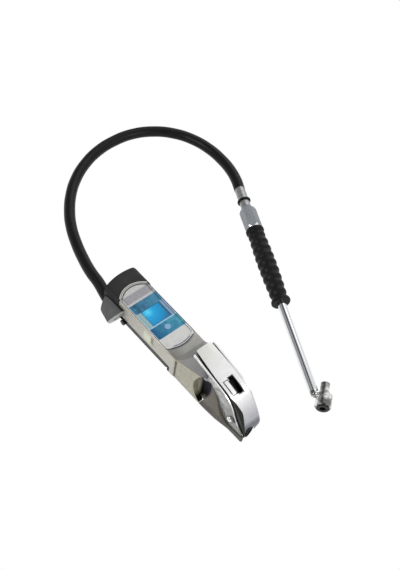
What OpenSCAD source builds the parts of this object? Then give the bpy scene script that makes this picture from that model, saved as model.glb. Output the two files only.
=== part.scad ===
// Hand-held tyre inflator with a digital gauge, its hose and its twin hold-on connector.
// X runs along the body from the hose end to the air inlet, Z points away from the display,
// and z = 0 is the face that the body rests on. All sizes are in millimetres.

/* [Display head] */
// Width of the head casting
head_w = 50; // [46:0.5:56]
// Height of the head casting's top face
head_top = 38.2; // [37.4:0.2:40]
// Place of the head casting's hose end
head_start = -52; // [-54:0.5:-51]
// Place where the head casting meets the handle
head_end = 60; // [58:0.5:62]
// Wall of the head casting
head_wall = 2.5; // [2:0.1:3]
// Height of the bezel above the casting
bezel_rise = 1.8; // [1.2:0.1:2.6]
// Width of the bezel's rim
bezel_rim = 3.2; // [2.4:0.1:4]
// Length of the clear window over the display
window_len = 25; // [20:0.5:28]
// Width of the clear window over the display
window_w = 27; // [22:0.5:30]
// Radius of the units button
button_r = 4; // [3:0.1:5]
// Travel of the units button
button_travel = 0.5; // [0.3:0.05:0.8]
// Thickness of the printed overlay
overlay_t = 0.7; // [0.5:0.1:1]

/* [Back cover] */
// Height of the back cover's rim
cover_top = 10.5; // [9:0.5:11.5]
// Thickness of the rubber rest pad
pad_t = 1.5; // [1:0.1:2]
// Length of the rest pad
pad_len = 68; // [56:1:70]
// Width of the rest pad
pad_w = 36; // [28:1:40]

/* [End cap and hose outlet] */
// Length of the end cap beyond the head casting
cap_len = 34; // [30:0.5:36]
// Width of the end cap
cap_w = 55; // [52:0.2:58]
// Radius of the end cap's far side in plan
cap_end_r = 80; // [70:1:100]
// Wall of the end cap
cap_wall = 2.6; // [2:0.1:3]
// Largest radius of the outlet lug
lug_r = 15.4; // [14.6:0.1:15.6]
// Length of the outlet lug
lug_len = 36; // [33:0.5:38]
// Angle of the outlet lug in plan
lug_turn = -13; // [-15:0.5:-11]

/* [Handle] */
// Width of the handle casting
handle_w = 48.4; // [46:0.2:49]
// Height of the handle's side band
band_top = 35; // [30:0.5:38]
// Width of the handle between the outer faces of its cheeks
spine_w = 34.4; // [34:0.2:36]
// Place of the handle's inlet end
handle_end = 182; // [180:0.5:184]
// Radius of the scoop at the end of the handle casting
scoop_r = 31; // [28:0.5:33]
// Thickness of the cheek plates
cheek_t = 2.4; // [2:0.1:2.6]

/* [Trigger lever] */
// Width of the lever over its skirts
lever_w = 28; // [27.4:0.1:28.2]
// Width of the lever at its free end
lever_tip_w = 23; // [22:0.5:26]
// Thickness of the lever's plate
lever_t = 2.6; // [2.2:0.1:3]
// Thickness of the lever's skirts
skirt_t = 2.2; // [1.8:0.1:2.4]
// Radius of the lever's pin
pin_r = 3; // [2.4:0.1:3.4]
// Length of the window in the lever
slot_len = 23; // [14:0.5:24]
// Width of the window in the lever
slot_w = 7.2; // [6:0.2:8]

/* [Valve and inlet] */
// Radius of the inlet's tapped bore
inlet_r = 5.72; // [5.5:0.01:6]
// Depth of the inlet's tapped bore
inlet_depth = 10; // [9:0.5:11]
// Radius of the inlet bush
bush_r = 7.1; // [6.9:0.05:7.3]
// Radius of the valve's bore in the block
valve_r = 7; // [6:0.1:7.4]
// Radius of the valve's plunger rod
rod_r = 2.4; // [2:0.1:2.8]

/* [Hose] */
// Outer diameter of the hose
hose_d = 16; // [14:0.5:16]

/* [Connector] */
// Radius of the ferrule on the hose
ferrule_r = 7.4; // [7:0.1:8]
// Length of the ferrule
ferrule_len = 21.4; // [18:0.2:24]
// Radius of the connector's tube
tube_r = 6; // [5.6:0.1:6.4]
// Wall of the connector's tube
tube_wall = 1.2; // [1:0.1:1.4]
// Largest radius of the rubber grip
grip_r = 13.5; // [12.5:0.1:13.5]
// Length of the rubber grip
grip_len = 127; // [110:1:130]
// Number of ribs on the rubber grip
grip_ribs = 9; // [7:1:11]
// Width of the hexagonal adaptor across its corners
hex_w = 24.4; // [22:0.2:26]
// Radius of the front nozzle
nozzle_r = 10.6; // [10:0.1:11]
// Radius of the rear nozzle
stub_r = 6; // [5.8:0.1:6.4]
// Radius of the ports that take a tyre's valve
port_r = 4; // [3.9:0.05:4.2]
// Travel of the valve depressors
depressor_travel = 2; // [1:0.1:2.4]

/* [Hidden] */
$fn = 64;
eps = 0.01;
// Clearance of pieces that are pressed or screwed together
fit = 0.02;
// Clearance of pieces that run in each other
run = 0.05;
// Clearance of pieces that stand beside each other
gap = 0.3;

// Display face: two arcs that close a strip
face_w = head_w - 4;
face_start = head_start - 12;
face_end = head_end - 12;
face_start_r = 31.4;
face_end_r = 40.5;
deck_z = head_top - 3.2;

// Head stack, from the back to the display
board_z = 24;
board_t = 1.6;
board_w = head_w - 2 * head_wall - 5;
light_t = 4.4;
lcd_t = 3;
window_x = -8;
button_x = window_x + window_len / 2 + 11;
overlay_top = head_top + overlay_t;
cell_r = 5.25;
cell_len = 44.5;
cell_y = 5.5;
cell_z = 17;
air_r = 2.4;
air_y = head_wall + air_r + 0.2 - head_w / 2;
post_r = 2.5;
post_y = -air_y - air_r - 0.4 - post_r;
tray_w = 2 * (post_y - post_r - 0.1);
cover_start = head_start + 7.5;
cover_end = head_end - 14.3;
cover_w = head_w - 3;
post_x = [cover_start + 4.5, cover_end - 5.7];
cover_wall = 2.5;
foot_front_z = 4;
cover_floor = cover_top - 6;
screw_top = deck_z - 2;

// Hose outlet: its axis leaves the end cap towards -X
cap_far = head_start - cap_len;
lug_x = cap_far + 3.8;
lug_y = 5.2 - cap_w / 2;
lug_z = 16;
hose_seat = 10.5;
mouth_x = 3.4;
mouth_turn = 43;
cap_foot = 5;
cap_screw_y = [lug_y + 18.5, cap_w / 2 - 10.5];
buffer_x = lug_x + lug_len + 6.2;
cap_screw_z = 22;
chamber_end = lug_len - 9;
air_start = lug_x + lug_len - 16.6;
plug_dip = 20;
plug_turn = 9.6;
plug_r = 4;
fitting_r = 5;

// Handle. Its curves are drawn for x from 60 to 182, and stretch with its ends
function along(x) = head_end + (x - 60) * (handle_end - head_end) / 122;
function drawn(points) = [for (p = points) [along(p[0]), p[1]]];
ramp = [[head_end, head_top + 1.4], [along(65), 43], [along(72), 52], [along(80), 65.5]];
ridge_end = [along(110), 61];
floor_start = along(72.6);
floor_slope = -0.23;
joint_x = along(104);
base_start = joint_x + 4.2;
scoop_x = joint_x + 22;
scoop_z = 30;
cheek_in = spine_w / 2 - cheek_t;
core_w = lever_w - 2 * skirt_t - 2.4;
tongue_x = joint_x - 16;
foot_y = 8;
tail_x = handle_end - 6.8;
tail_turn = 16.4;
inlet_y = -4;
inlet_z = 8.3;
collar_r = bush_r + 0.8;
gallery_z = 33;
seat_z = 28;
link_x = head_end + 9.5;
function floor_z(x) = 53 + floor_slope * (x - along(74));

// Trigger lever, side view
pivot = [along(156), 20];
lever_line = drawn([[79.5, 73], [109, 66.5], [134, 61.5], [150, 56], [160, 46.5], [170, 33.5],
    [177, 21], [182.4, 6.6]]);
skirt_line = drawn([[82, 67.2], [112, 58], [132, 50], [141, 38], [146, 20], [151, 12.5], [158, 11],
    [166, 14], [173, 14.6], [178.4, 9.6]]);
slot_x = along(138.2);
slot_y = 2.3;
valve_x = joint_x + 18;
silencer_x = valve_x + 18;
lever_top = spline(lever_line, 5);
lever_slope = (lookup(valve_x + 2, lever_top) - lookup(valve_x - 2, lever_top)) / 4;
lever_tilt = -atan(lever_slope);
pad_h = 2.8;
pad_at = [valve_x, 0, lookup(valve_x, lever_top) - lever_t / cos(lever_tilt) - fit];
plunger_top = pad_at[2] - pad_h / cos(lever_tilt) - 0.5;

// Connector: placed by the end of the hose and its angle in plan
joint_at = [-115.9, 246.9, 13.6];
joint_turn = -26.1;
nut_start = 35;
nut_end = 75;
nut_turn = -14;
grip_start = 76;
tube_start = 60;
tube_end = 340.6;
chuck_at = [348, 11.5, 0];
chuck_turn = -24.4;
neck_start = tube_end + 3.2;
elbow_r = 5.2;
neck_turn = atan2(chuck_at[1], chuck_at[0] - neck_start);
nozzle_end = 19;
stub_end = -17;

// The hose's route from the outlet lug to the ferrule
route = [[-72.1, -24.63, 16], [-86.3, -21.35, 16], [-103, -17.6, 16], [-125, -14, 13.5], [-150.5, -7, 10],
    [-179, 2.5, 8.2], [-206, 14.2, 8], [-230.5, 29.6, 8], [-252.3, 48.2, 8], [-270.8, 70, 8],
    [-286.6, 97.7, 8], [-297, 130, 8], [-299.5, 160.5, 8], [-295, 192.3, 8], [-281.5, 221, 8], [-260.5, 244.2, 8],
    [-233.7, 260, 8], [-204.3, 267.4, 8.2], [-175.7, 267, 9.6], [-154, 262.6, 12], [-133.5, 255.5, 13.6],
    [-116, 246.95, 13.6]];

// ---- Curves and solids that several pieces use ----

// A smooth curve through points, cut into steps for each span
function spline(p, steps) = [for (i = [0 : len(p) - 2], j = [0 : steps - 1])
    let (t = j / steps, a = p[max(i - 1, 0)], b = p[i], c = p[i + 1],
         d = p[min(i + 2, len(p) - 1)])
    (2 * b + (c - a) * t + (2 * a - 5 * b + 4 * c - d) * t * t
        + (3 * b - a - 3 * c + d) * t * t * t) / 2, p[len(p) - 1]];
function reverse(p) = [for (i = [len(p) - 1 : -1 : 0]) p[i]];
function unit(v) = v / norm(v);
// The same line moved sideways, to the right of its direction
function beside(p, d) = [for (i = [0 : len(p) - 1])
    let (v = unit(p[min(i + 1, len(p) - 1)] - p[max(i - 1, 0)])) p[i] + d * [v[1], -v[0]]];
// A prism of a (y, z) outline from x0 to x1
module along_x(x0, x1) translate([x0, 0, 0]) rotate([90, 0, 90]) linear_extrude(x1 - x0) children();
// A prism of an (x, z) outline from y0 to y1
module along_y(y0, y1) translate([0, y1, 0]) rotate([90, 0, 0]) linear_extrude(y1 - y0) children();
// A prism of an (x, y) outline from z0 to z1
module along_z(z0, z1) translate([0, 0, z0]) linear_extrude(z1 - z0) children();
module block(low, high) translate(low) cube(high - low);
module rod_x(x0, x1, r, y = 0, z = 0) translate([x0, y, z]) rotate([0, 90, 0]) cylinder(r = r, h = x1 - x0);
module rod_y(y0, y1, r, x = 0, z = 0) translate([x, y1, z]) rotate([90, 0, 0]) cylinder(r = r, h = y1 - y0);
module rod_z(z0, z1, r, x = 0, y = 0) translate([x, y, z0]) cylinder(r = r, h = z1 - z0);
// A solid turned about the X axis from an outline of (x, radius) points
module turned(outline) rotate([0, 90, 0]) rotate([0, 0, 180]) rotate_extrude()
    polygon([for (p = outline) [p[1], p[0]]]);
// A rectangle with round corners, from its low corner to its high corner
module round_box(low, high, r) union() {
    translate([low[0] + r, low[1]]) square([high[0] - low[0] - 2 * r, high[1] - low[1]]);
    translate([low[0], low[1] + r]) square([high[0] - low[0], high[1] - low[1] - 2 * r]);
    for (x = [low[0] + r, high[0] - r], y = [low[1] + r, high[1] - r])
        translate([x, y]) circle(r);
}
// A ring turned about the X axis
module ring_x(x0, x1, outer, inner) difference() {
    rod_x(x0, x1, outer);
    rod_x(x0 - 1, x1 + 1, inner);
}
// A cap screw along Z: its head is below, its shank above
module screw_up(head_r, head_h, shank_r, length) {
    difference() {
        cylinder(r = head_r, h = head_h);
        translate([0, 0, -1]) cylinder(r = head_r * 0.55, h = head_h * 0.5 + 1, $fn = 6);
    }
    translate([0, 0, head_h - eps]) cylinder(r = shank_r, h = length - head_h + eps);
}
// The outline of the display face, drawn in from its edge
module face_outline(inset) intersection() {
    translate([face_start, inset - face_w / 2])
        square([face_end - face_start, face_w - 2 * inset]);
    union() {
        translate([face_start + face_start_r, 0]) circle(face_start_r - inset, $fn = 128);
        translate([face_end - face_end_r, 0]) circle(face_end_r - inset, $fn = 128);
    }
}
// The outline of the display window, grown by a margin
module window_outline(margin) round_box(
    [window_x - window_len / 2 - margin, -window_w / 2 - margin],
    [window_x + window_len / 2 + margin, window_w / 2 + margin], 1.5 + margin);

// ---- Display head ----

// Copies to the four posts that clamp the circuit board
module at_posts() for (x = post_x, y = [-post_y, post_y]) translate([x, y, 0]) children();

module head_casting() color("#B9B8B0") difference() {
    union() {
        intersection() {
            along_x(head_start, head_end)
                round_box([-head_w / 2, cover_top], [head_w / 2, head_top], 3.5);
            along_z(0, head_top)
                round_box([head_start - 8, -head_w / 2], [head_end, head_w / 2], 4);
        }
        // Feet in front of and behind the back cover
        along_z(foot_front_z, cover_top + 8)
            round_box([head_start, 1 - head_w / 2], [cover_start - gap, head_w / 2 - 1], 1.5);
        along_z(0, cover_top + 8)
            round_box([cover_end + gap, 0.8 - head_w / 2], [head_end, head_w / 2 - 0.8], 2.5);
        // Tongue below the arched end of the bezel
        along_z(deck_z - 2, head_top) face_outline(0.4);
    }
    // Room for the board and the batteries
    difference() {
        block([head_start + head_wall, head_wall - head_w / 2, cover_top - 1],
            [head_end - 10, head_w / 2 - head_wall, deck_z]);
        at_posts() rod_z(board_z + board_t, deck_z + 1, post_r);
    }
    block([cover_start - gap, -head_w, -1], [cover_end + gap, head_w, cover_top]);
    along_z(deck_z - 1, head_top + 1) window_outline(1.5);
    rod_z(deck_z - 1, head_top + 1, button_r + 0.1, button_x);
    rod_x(head_start - 1, head_end + 1, air_r + fit, air_y, lug_z);
    for (y = [-12, 12]) rod_x(head_end - 11, head_end + 1, 2 + fit, y, 30);
    for (y = cap_screw_y) rod_x(head_start - 1, head_start + 4, 1.4 + fit, y, cap_screw_z);
    at_posts() rod_z(board_z + board_t - 1, screw_top + 0.5, 1.2 + fit);
}

module bezel() color("#C6C7C5") difference() {
    along_z(head_top, head_top + bezel_rise) face_outline(0);
    along_z(head_top - 1, head_top + bezel_rise + 1) face_outline(bezel_rim);
}

module label_overlay() color("#2878A5") difference() {
    along_z(head_top, overlay_top) face_outline(bezel_rim + 0.1);
    along_z(head_top - 1, overlay_top + 1) window_outline(0.05);
    rod_z(head_top - 1, overlay_top + 1, button_r + 0.15, button_x);
}

module display_gasket() color("#1C1C1C") difference() {
    along_z(deck_z, head_top) window_outline(1.45);
    along_z(deck_z - 1, head_top + 1) window_outline(0.05);
}

module display_window() color("#17A6E0")
    along_z(board_z + board_t + light_t + lcd_t, overlay_top) window_outline(0);

module lcd_panel() color("#10B0F0") translate([0, 0, board_z + board_t + light_t])
    block([window_x - 15, -16, 0], [window_x + 15, 16, lcd_t]);

module backlight() color("#F2F5F7") translate([0, 0, board_z + board_t])
    block([window_x - 15, -16, 0], [window_x + 15, 16, light_t]);

module circuit_board() color("#1F6B3A") difference() {
    along_z(board_z, board_z + board_t)
        round_box([cover_start - 1.5, -board_w / 2], [cover_end + 0.3, board_w / 2], 2);
    at_posts() rod_z(board_z - 1, board_z + 3, 1.3);
}

module board_chips() color("#202024") translate([0, 0, board_z + board_t]) {
    block([10, 8, 0], [20, 17, 1.4]);
    block([-34, -13, 0], [-26, -7, 1.6]);
    block([22, -16, 0], [27, -12, 1.2]);
}

module pressure_sensor() color("#C9CCD0") translate([34, 0, board_z + board_t]) {
    cylinder(r = 5, h = 3.4);
    translate([0, 0, 3.4 - eps]) cylinder(r = 1.6, h = 4);
}

module button_switch() color("#2B2B2E") translate([button_x, 0, board_z + board_t]) {
    block([-3, -3, 0], [3, 3, 2.6]);
    translate([0, 0, 2.6 - eps]) cylinder(r = 1.6, h = 0.7);
}

module unit_button() color("#9CC7E0") translate([button_x, 0, 0]) {
    rod_z(deck_z - eps, overlay_top + 0.3, button_r);
    rod_z(deck_z - 1.1, deck_z - 0.1, button_r + 1);
    rod_z(deck_z - 1.1, deck_z, button_r - 0.6);
    rod_z(board_z + board_t + 3.3 + button_travel + 0.1, deck_z - 1, 1.5);
}

module battery_tray() color("#26262A") difference() {
    block([-cell_len / 2 - 4, -tray_w / 2, cover_floor], [cell_len / 2 + 4, tray_w / 2, cell_z]);
    for (y = [-cell_y, cell_y])
        rod_x(-cell_len / 2 - 2, cell_len / 2 + 2, cell_r + 0.1, y, cell_z);
    block([-cell_len / 2 - 2, -cell_y, cell_z - 4], [cell_len / 2 + 2, cell_y, cell_z + 1]);
}

module batteries() color("#5F8F4E") for (y = [-cell_y, cell_y]) {
    rod_x(-cell_len / 2, cell_len / 2 - 1, cell_r, y, cell_z);
    rod_x(cell_len / 2 - 1 - eps, cell_len / 2, 1.9, y, cell_z);
}

module battery_contacts() color("#C8A850") for (end = [-1, 1], y = [-cell_y, cell_y])
    translate([end * (cell_len / 2 + 1), y, cell_z])
        block([-0.8, -3, -3.5], [0.8, 3, 5]);

module back_cover() color("#1E1E20") difference() {
    union() {
        difference() {
            along_z(pad_t, cover_top)
                round_box([cover_start, -cover_w / 2], [cover_end, cover_w / 2], 3);
            block([cover_start + cover_wall, cover_wall - cover_w / 2, cover_floor],
                [cover_end - cover_wall, cover_w / 2 - cover_wall, cover_top + 1]);
        }
        at_posts() rod_z(cover_floor - eps, board_z, post_r);
    }
    at_posts() {
        rod_z(0, pad_t + 1.8, 2.2 + fit);
        rod_z(0, board_z + 1, 1.2 + fit);
    }
    rod_y(-cover_w, 0.6 - cover_w / 2 + cover_wall, 1.6 + fit, buffer_x, 5.6);
}

module cover_screws() color("#8E9195") at_posts()
    translate([0, 0, pad_t + 0.2]) screw_up(2.2, 1.6, 1.2, screw_top - pad_t - 0.2);

module rest_pad() color("#141414")
    along_z(0, pad_t) round_box([-pad_len / 2, -pad_w / 2], [pad_len / 2, pad_w / 2], 4);

module side_buffer() color("#161616") {
    rod_y(-cover_w / 2 - 4, -cover_w / 2, 4, buffer_x, 5.6);
    rod_y(-cover_w / 2 - eps, cover_wall - cover_w / 2, 1.6, buffer_x, 5.6);
}

// ---- End cap and hose outlet ----

module at_lug() translate([lug_x, lug_y, lug_z]) rotate([0, 0, lug_turn]) children();

// The end face of the lug, which leans and turns away from its axis
module at_plug() at_lug() translate([lug_len, 0, 0]) rotate([0, plug_dip, plug_turn]) children();

// The end cap's plan, drawn in from its edge
module cap_plan(inset) intersection() {
    round_box([cap_far + inset, inset - cap_w / 2], [head_start + 20, cap_w / 2 - inset], 9 - inset);
    translate([cap_far + cap_end_r, 5]) circle(cap_end_r - inset, $fn = 160);
}

module end_cap() color("#464646") difference() {
    union() {
        intersection() {
            along_x(cap_far, head_start)
                round_box([-cap_w / 2, cap_foot], [cap_w / 2, head_top + 0.4], 7);
            along_z(0, head_top + 1) cap_plan(0);
        }
        difference() {
            at_lug() turned([[-9, 0], [-9, 10], [4, 11.4], [9, 13.2], [14, lug_r - 0.8], [19, lug_r],
                [lug_len + 7, lug_r], [lug_len + 7, 0]]);
            at_plug() block([0, -40, -40], [40, 40, 40]);
            // The mouth slants back along the side that faces away from the cap
            at_lug() translate([mouth_x, 0, 0]) rotate([0, 0, mouth_turn])
                block([-40, -40, -20], [0, 40, 30]);
        }
    }
    // Room inside the cap, clear of the lug
    difference() {
        intersection() {
            along_z(cap_foot + cap_wall, head_top - cap_wall) cap_plan(cap_wall);
            block([cap_far, -cap_w, 0], [head_start + 1, cap_w, head_top]);
        }
        at_lug() rod_x(-5, lug_len + 5, lug_r);
        for (y = cap_screw_y) rod_x(cap_far, head_start + 2, 4, y, cap_screw_z);
    }
    // The hose's seat and the fitting's bore
    at_lug() rod_x(-20, hose_seat, hose_d / 2 + 0.15);
    at_lug() rod_x(hose_seat - 1, chamber_end, fitting_r + fit);
    at_lug() rod_x(chamber_end - 1, lug_len + 8, plug_r + fit);
    rod_x(air_start - 2, head_start + 1, air_r + fit, air_y, lug_z);
    // Seats of the casting's tongue and of the cap's screws
    along_z(deck_z - 2 - gap, head_top + 2) face_outline(-gap);
    for (y = cap_screw_y) {
        rod_x(cap_far - 1, cap_far + 3.5, 2.9 + fit, y, cap_screw_z);
        rod_x(cap_far - 1, head_start + 1, 1.4 + fit, y, cap_screw_z);
    }
    beside_casting();
}
// The space that the head casting takes beside the end cap and its lug
module beside_casting()
    block([head_start, -head_w / 2 - fit, -1], [head_start + 30, head_w, head_top + 2]);

module cap_screws() color("#9A9DA0") for (y = cap_screw_y)
    translate([cap_far + 1.5, y, cap_screw_z]) rotate([0, 90, 0]) screw_up(2.9, 2, 1.4, cap_len + 1.5);

module outlet_fitting() color("#C9A24A") at_lug() difference() {
    rod_x(hose_seat, lug_len - 18.6, fitting_r);
    rod_x(hose_seat - 1, lug_len - 17, fitting_r - 1.6);
}

module outlet_plug() color("#D9DADB") difference() {
    union() {
        at_lug() rod_x(chamber_end + 0.5, lug_len + 1, plug_r);
        difference() {
            at_plug() rod_x(0, 2.4, lug_r - 0.6);
            block([cap_far, -cap_w / 2 - fit, -1], [head_start, cap_w, head_top + 2]);
        }
    }
    at_plug() translate([1.2, -3, 0]) rotate([0, 90, 0]) cylinder(r = 4.6, h = 3, $fn = 6);
    beside_casting();
}

module air_tube() color("#B5794A") difference() {
    rod_x(air_start, head_end + 8, air_r, air_y, lug_z);
    rod_x(air_start - 1, head_end + 9, air_r - 0.7, air_y, lug_z);
}

// ---- Handle ----

// Half of the handle's cross section, with its flank, mirrored
module handle_section() {
    half = handle_w / 2;
    side = [[0, 0], [half - 2, 0], [half - 0.6, 0.6], [half, 2], [half, band_top - 1.5],
        [half - 0.5, band_top], [spine_w / 2 + 0.6, 62], [spine_w / 2, 66], [spine_w / 2, 80], [0, 80]];
    polygon(concat(side, [for (p = reverse(side)) [-p[0], p[1]]]));
}

module handle_casting() color("#8C8C88") difference() {
    intersection() {
        along_x(head_end, ridge_end[0]) handle_section();
        along_y(-40, 40) polygon(concat([[head_end, 0]], ramp, [[along(83), 67.6], ridge_end,
            [ridge_end[0], 40], [base_start, 8], [base_start, 0]]));
    }
    // Channel for the cheeks and the lever
    along_y(-spine_w / 2 - fit, spine_w / 2 + fit)
        polygon([[floor_start, 90], [floor_start, floor_z(floor_start)],
            [joint_x + 16, floor_z(joint_x + 16)], [joint_x + 16, 90]]);
    // Scooped end, and the seat of the valve block
    for (side = [-1, 1]) translate([0, side * (spine_w / 2 + 20), 0])
        rod_y(-20, 20, scoop_r, scoop_x, scoop_z);
    block([joint_x, -spine_w / 2 - fit, -1], [joint_x + 16, spine_w / 2 + fit, 90]);
    block([tongue_x - fit, -12 - fit, -1], [joint_x + 16, 12 + fit, 5]);
    // Air gallery and screw holes
    rod_x(link_x, joint_x + 1, 3, 0, gallery_z);
    rod_z(lug_z, gallery_z, 2.2, link_x, 0);
    rod_y(air_y, 0, 2.2, link_x, lug_z);
    rod_x(head_end - 1, head_end + 8 + fit, air_r + fit, air_y, lug_z);
    for (y = [-12, 12]) rod_x(head_end - 1, head_end + 13, 2 + fit, y, 30);
    for (y = [-foot_y, foot_y]) rod_z(4, 19, 1.8 + fit, tongue_x + 8, y);
}

module handle_screws() color("#8E9195") for (y = [-12, 12])
    translate([head_end - 13, y, 30]) rotate([0, 90, 0]) screw_up(3.4, 3, 2, 25.5);

// Side view of the block below the cheeks' lower edges
cheek_low = drawn([[112, 50.5], [118, 51.5], [131, 38], [138, 26], [146, 14.5], [157, 8], [170, 8.6],
    [178, 9.6]]);

// Half of the plan of the block's flared base
base_w = handle_w / 2 - 0.8;
base_side = [[joint_x - 4, -base_w - 0.6], [along(120), 0.2 - base_w], [along(138), 1.4 - base_w],
    [along(158), -spine_w / 2 - 1.4], [handle_end - 1.5, -spine_w / 2 - 1], [handle_end, 0.4 - spine_w / 2]];

module valve_block() color("#7D786E") difference() {
    union() {
        // Spine between the lever's skirts
        along_y(-core_w / 2, core_w / 2) polygon(concat([[joint_x, 0], [joint_x, 47], [valve_x - 10, 46],
            [valve_x + 9, 46]], drawn([[135, 39], [150, 34], [163, 25.5], [168, inlet_z + 3]]),
            [[tail_x, inlet_z + 3], [tail_x, 0]]));
        rod_x(handle_end - 22, tail_x, collar_r + 0.2, inlet_y, inlet_z);
        // Shoulders between the cheeks
        along_y(-cheek_in, cheek_in) polygon(concat([[joint_x, 0], [joint_x, 46]],
            drawn([[118, 44], [126, 34], [133, 20], [139, 8]]), [[tail_x, 6], [tail_x, 0]]));
        // Flared base outside the cheeks
        for (side = [-1, 1]) intersection() {
            translate([0, side * (cheek_in + 15), 0]) along_y(-15, 15) polygon(concat(
                [[base_start + gap, 0], [joint_x + 7, 4], [joint_x + 10.5, 16], [joint_x + 12, 32],
                 [joint_x + 10, 46]], spline(cheek_low, 5), [[handle_end, 10], [handle_end, 0]]));
            along_x(joint_x + 1, handle_end) polygon([[-base_w, 0], [-base_w, 1.5], [-spine_w / 2, 50],
                [spine_w / 2, 50], [base_w, 1.5], [base_w, 0]]);
            along_z(0, 60) polygon(concat(base_side, [for (p = reverse(base_side)) [p[0], -p[1]]]));
        }
        block([tongue_x, -12, 0], [joint_x + 4, 12, 5 - fit]);
    }
    // Valve bore, inlet, air passages and pin
    rod_z(8, 60, valve_r + fit, valve_x);
    rod_x(tail_x - 12, tail_x + 1, bush_r + fit, inlet_y, inlet_z);
    rod_x(valve_x, tail_x - 11, 3, inlet_y + 2, inlet_z + 1);
    rod_x(joint_x - 1, valve_x, 3, 0, gallery_z);
    rod_y(-40, 40, pin_r + fit, pivot[0], pivot[1]);
    rod_z(36, 60, 3.6 + fit, silencer_x);
    for (y = [-foot_y, foot_y]) {
        rod_z(-1, 2.6, 3.3 + fit, tongue_x + 8, y);
        rod_z(-1, 6, 1.8 + fit, tongue_x + 8, y);
    }
    // Room beside the cheeks
    for (side = [-1, 1]) translate([0, side * (cheek_in + cheek_t / 2), 0])
        along_y(-cheek_t / 2 - fit, cheek_t / 2 + fit) cheek_outline();
    beyond(handle_end, -spine_w / 2, tail_turn);
}
// The space beyond an upright plane through (x, y), turned from the Y direction
module beyond(x, y, turn) translate([x, y, -1]) rotate([0, 0, turn]) block([0, -60, 0], [60, 90, 90]);

module block_screws() color("#8E9195") for (y = [-foot_y, foot_y])
    translate([tongue_x + 8, y, 0.4]) screw_up(3.3, 2.2, 1.8, 18);

// Side view of a cheek: a thin rail along the lever that widens to hold its pin
module cheek_outline() {
    top = spline(drawn([[81, 70.8], [109, 64.6], [134, 59.4], [148, 53.2], [157, 44], [165, 29.5],
        [176, 15]]), 5);
    polygon(concat([[along(81), floor_z(along(81))]], top, [[along(178.6), 12]],
        reverse(spline(cheek_low, 5)), [[along(107), floor_z(along(107))]]));
}

module cheek(side) difference() {
    translate([0, side * (cheek_in + cheek_t / 2), 0])
        along_y(-cheek_t / 2, cheek_t / 2) cheek_outline();
    rod_y(-40, 40, pin_r + fit, pivot[0], pivot[1]);
    translate([0, side * (spine_w / 2 + 2 - 0.7), 0]) rod_y(-2, 2, 5.4, pivot[0], pivot[1]);
    beyond(handle_end, -spine_w / 2, tail_turn);
}
module left_cheek() color("#C9CACB") cheek(-1);
module right_cheek() color("#C9CACB") cheek(1);

// ---- Inlet and valve ----

module at_inlet() translate([tail_x, inlet_y, inlet_z]) children();

module inlet_bush() color("#C9CCD0") at_inlet() difference() {
    rod_x(-11.9, 2.2, bush_r);
    rod_x(2.2 - inlet_depth, 3, inlet_r);
    rod_x(-13, 0, 3.6);
}

module inlet_collar() color("#151515") difference() {
    at_inlet() difference() {
        rod_x(0, 9, collar_r);
        rod_x(-1, 2.3, bush_r + fit);
        rod_x(0, 10, inlet_r + 1);
    }
    beyond(handle_end - 1.6, inlet_y, 12);
}

module inlet_filter() color("#B08D57") at_inlet() rod_x(-10.6, -9.4, 3.55);

module valve_sleeve() color("#C9A24A") difference() {
    rod_z(8, 40, valve_r, valve_x);
    // The bore below the seat, the seat, and the bore above it
    rod_z(7, seat_z, 4.4, valve_x);
    rod_z(seat_z - 1, seat_z + 3, 3.2, valve_x);
    rod_z(seat_z + 2, 41, 4.4, valve_x);
    rod_x(valve_x, valve_x + 10, 2.4, 0, 11);
    rod_x(valve_x - 10, valve_x, 2.4, 0, gallery_z);
}

module valve_gland() color("#8C9196") difference() {
    union() {
        rod_z(40, 46, valve_r - 0.1, valve_x);
        translate([valve_x, 0, 46]) cylinder(r = 8.6, h = 4, $fn = 6);
    }
    rod_z(39, 51, rod_r + run, valve_x);
}

module valve_plunger() color("#D5D7D9") {
    rod_z(seat_z - 1, plunger_top - 1, rod_r, valve_x);
    translate([valve_x, 0, plunger_top - 1 - eps]) cylinder(r1 = rod_r, r2 = rod_r - 0.8, h = 1 + eps);
    rod_z(seat_z - 4, seat_z - 2, 4.2, valve_x);
    rod_z(seat_z - 2 - eps, seat_z - 0.2, 2.9, valve_x);
}

module plunger_seal() color("#1A1A1A") difference() {
    rod_z(seat_z - 1.95, seat_z - 0.05, 4.3, valve_x);
    rod_z(seat_z - 3, seat_z + 1, 2.9 + fit, valve_x);
}

module plunger_spring() color("#A7AAAD") difference() {
    rod_z(8.1, seat_z - 4.1, 3.9, valve_x);
    rod_z(7, seat_z, 2.9, valve_x);
}

module exhaust_silencer() color("#8E8A78") {
    rod_z(36, 40, 3.6, silencer_x);
    rod_z(40 - eps, 43.5, 2.8, silencer_x);
}

// ---- Trigger lever ----

// Plan of the lever, wider at its pin than at its free end
module lever_plan(inset) polygon([
    [lever_line[0][0] - 1, lever_tip_w / 2 - 2 - inset], [lever_line[0][0] + 1, lever_tip_w / 2 - inset],
    [valve_x, lever_w / 2 - inset], [handle_end + 18, lever_w / 2 - inset],
    [handle_end + 18, inset - lever_w / 2], [valve_x, inset - lever_w / 2],
    [lever_line[0][0] + 1, inset - lever_tip_w / 2], [lever_line[0][0] - 1, inset + 2 - lever_tip_w / 2]]);

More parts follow.
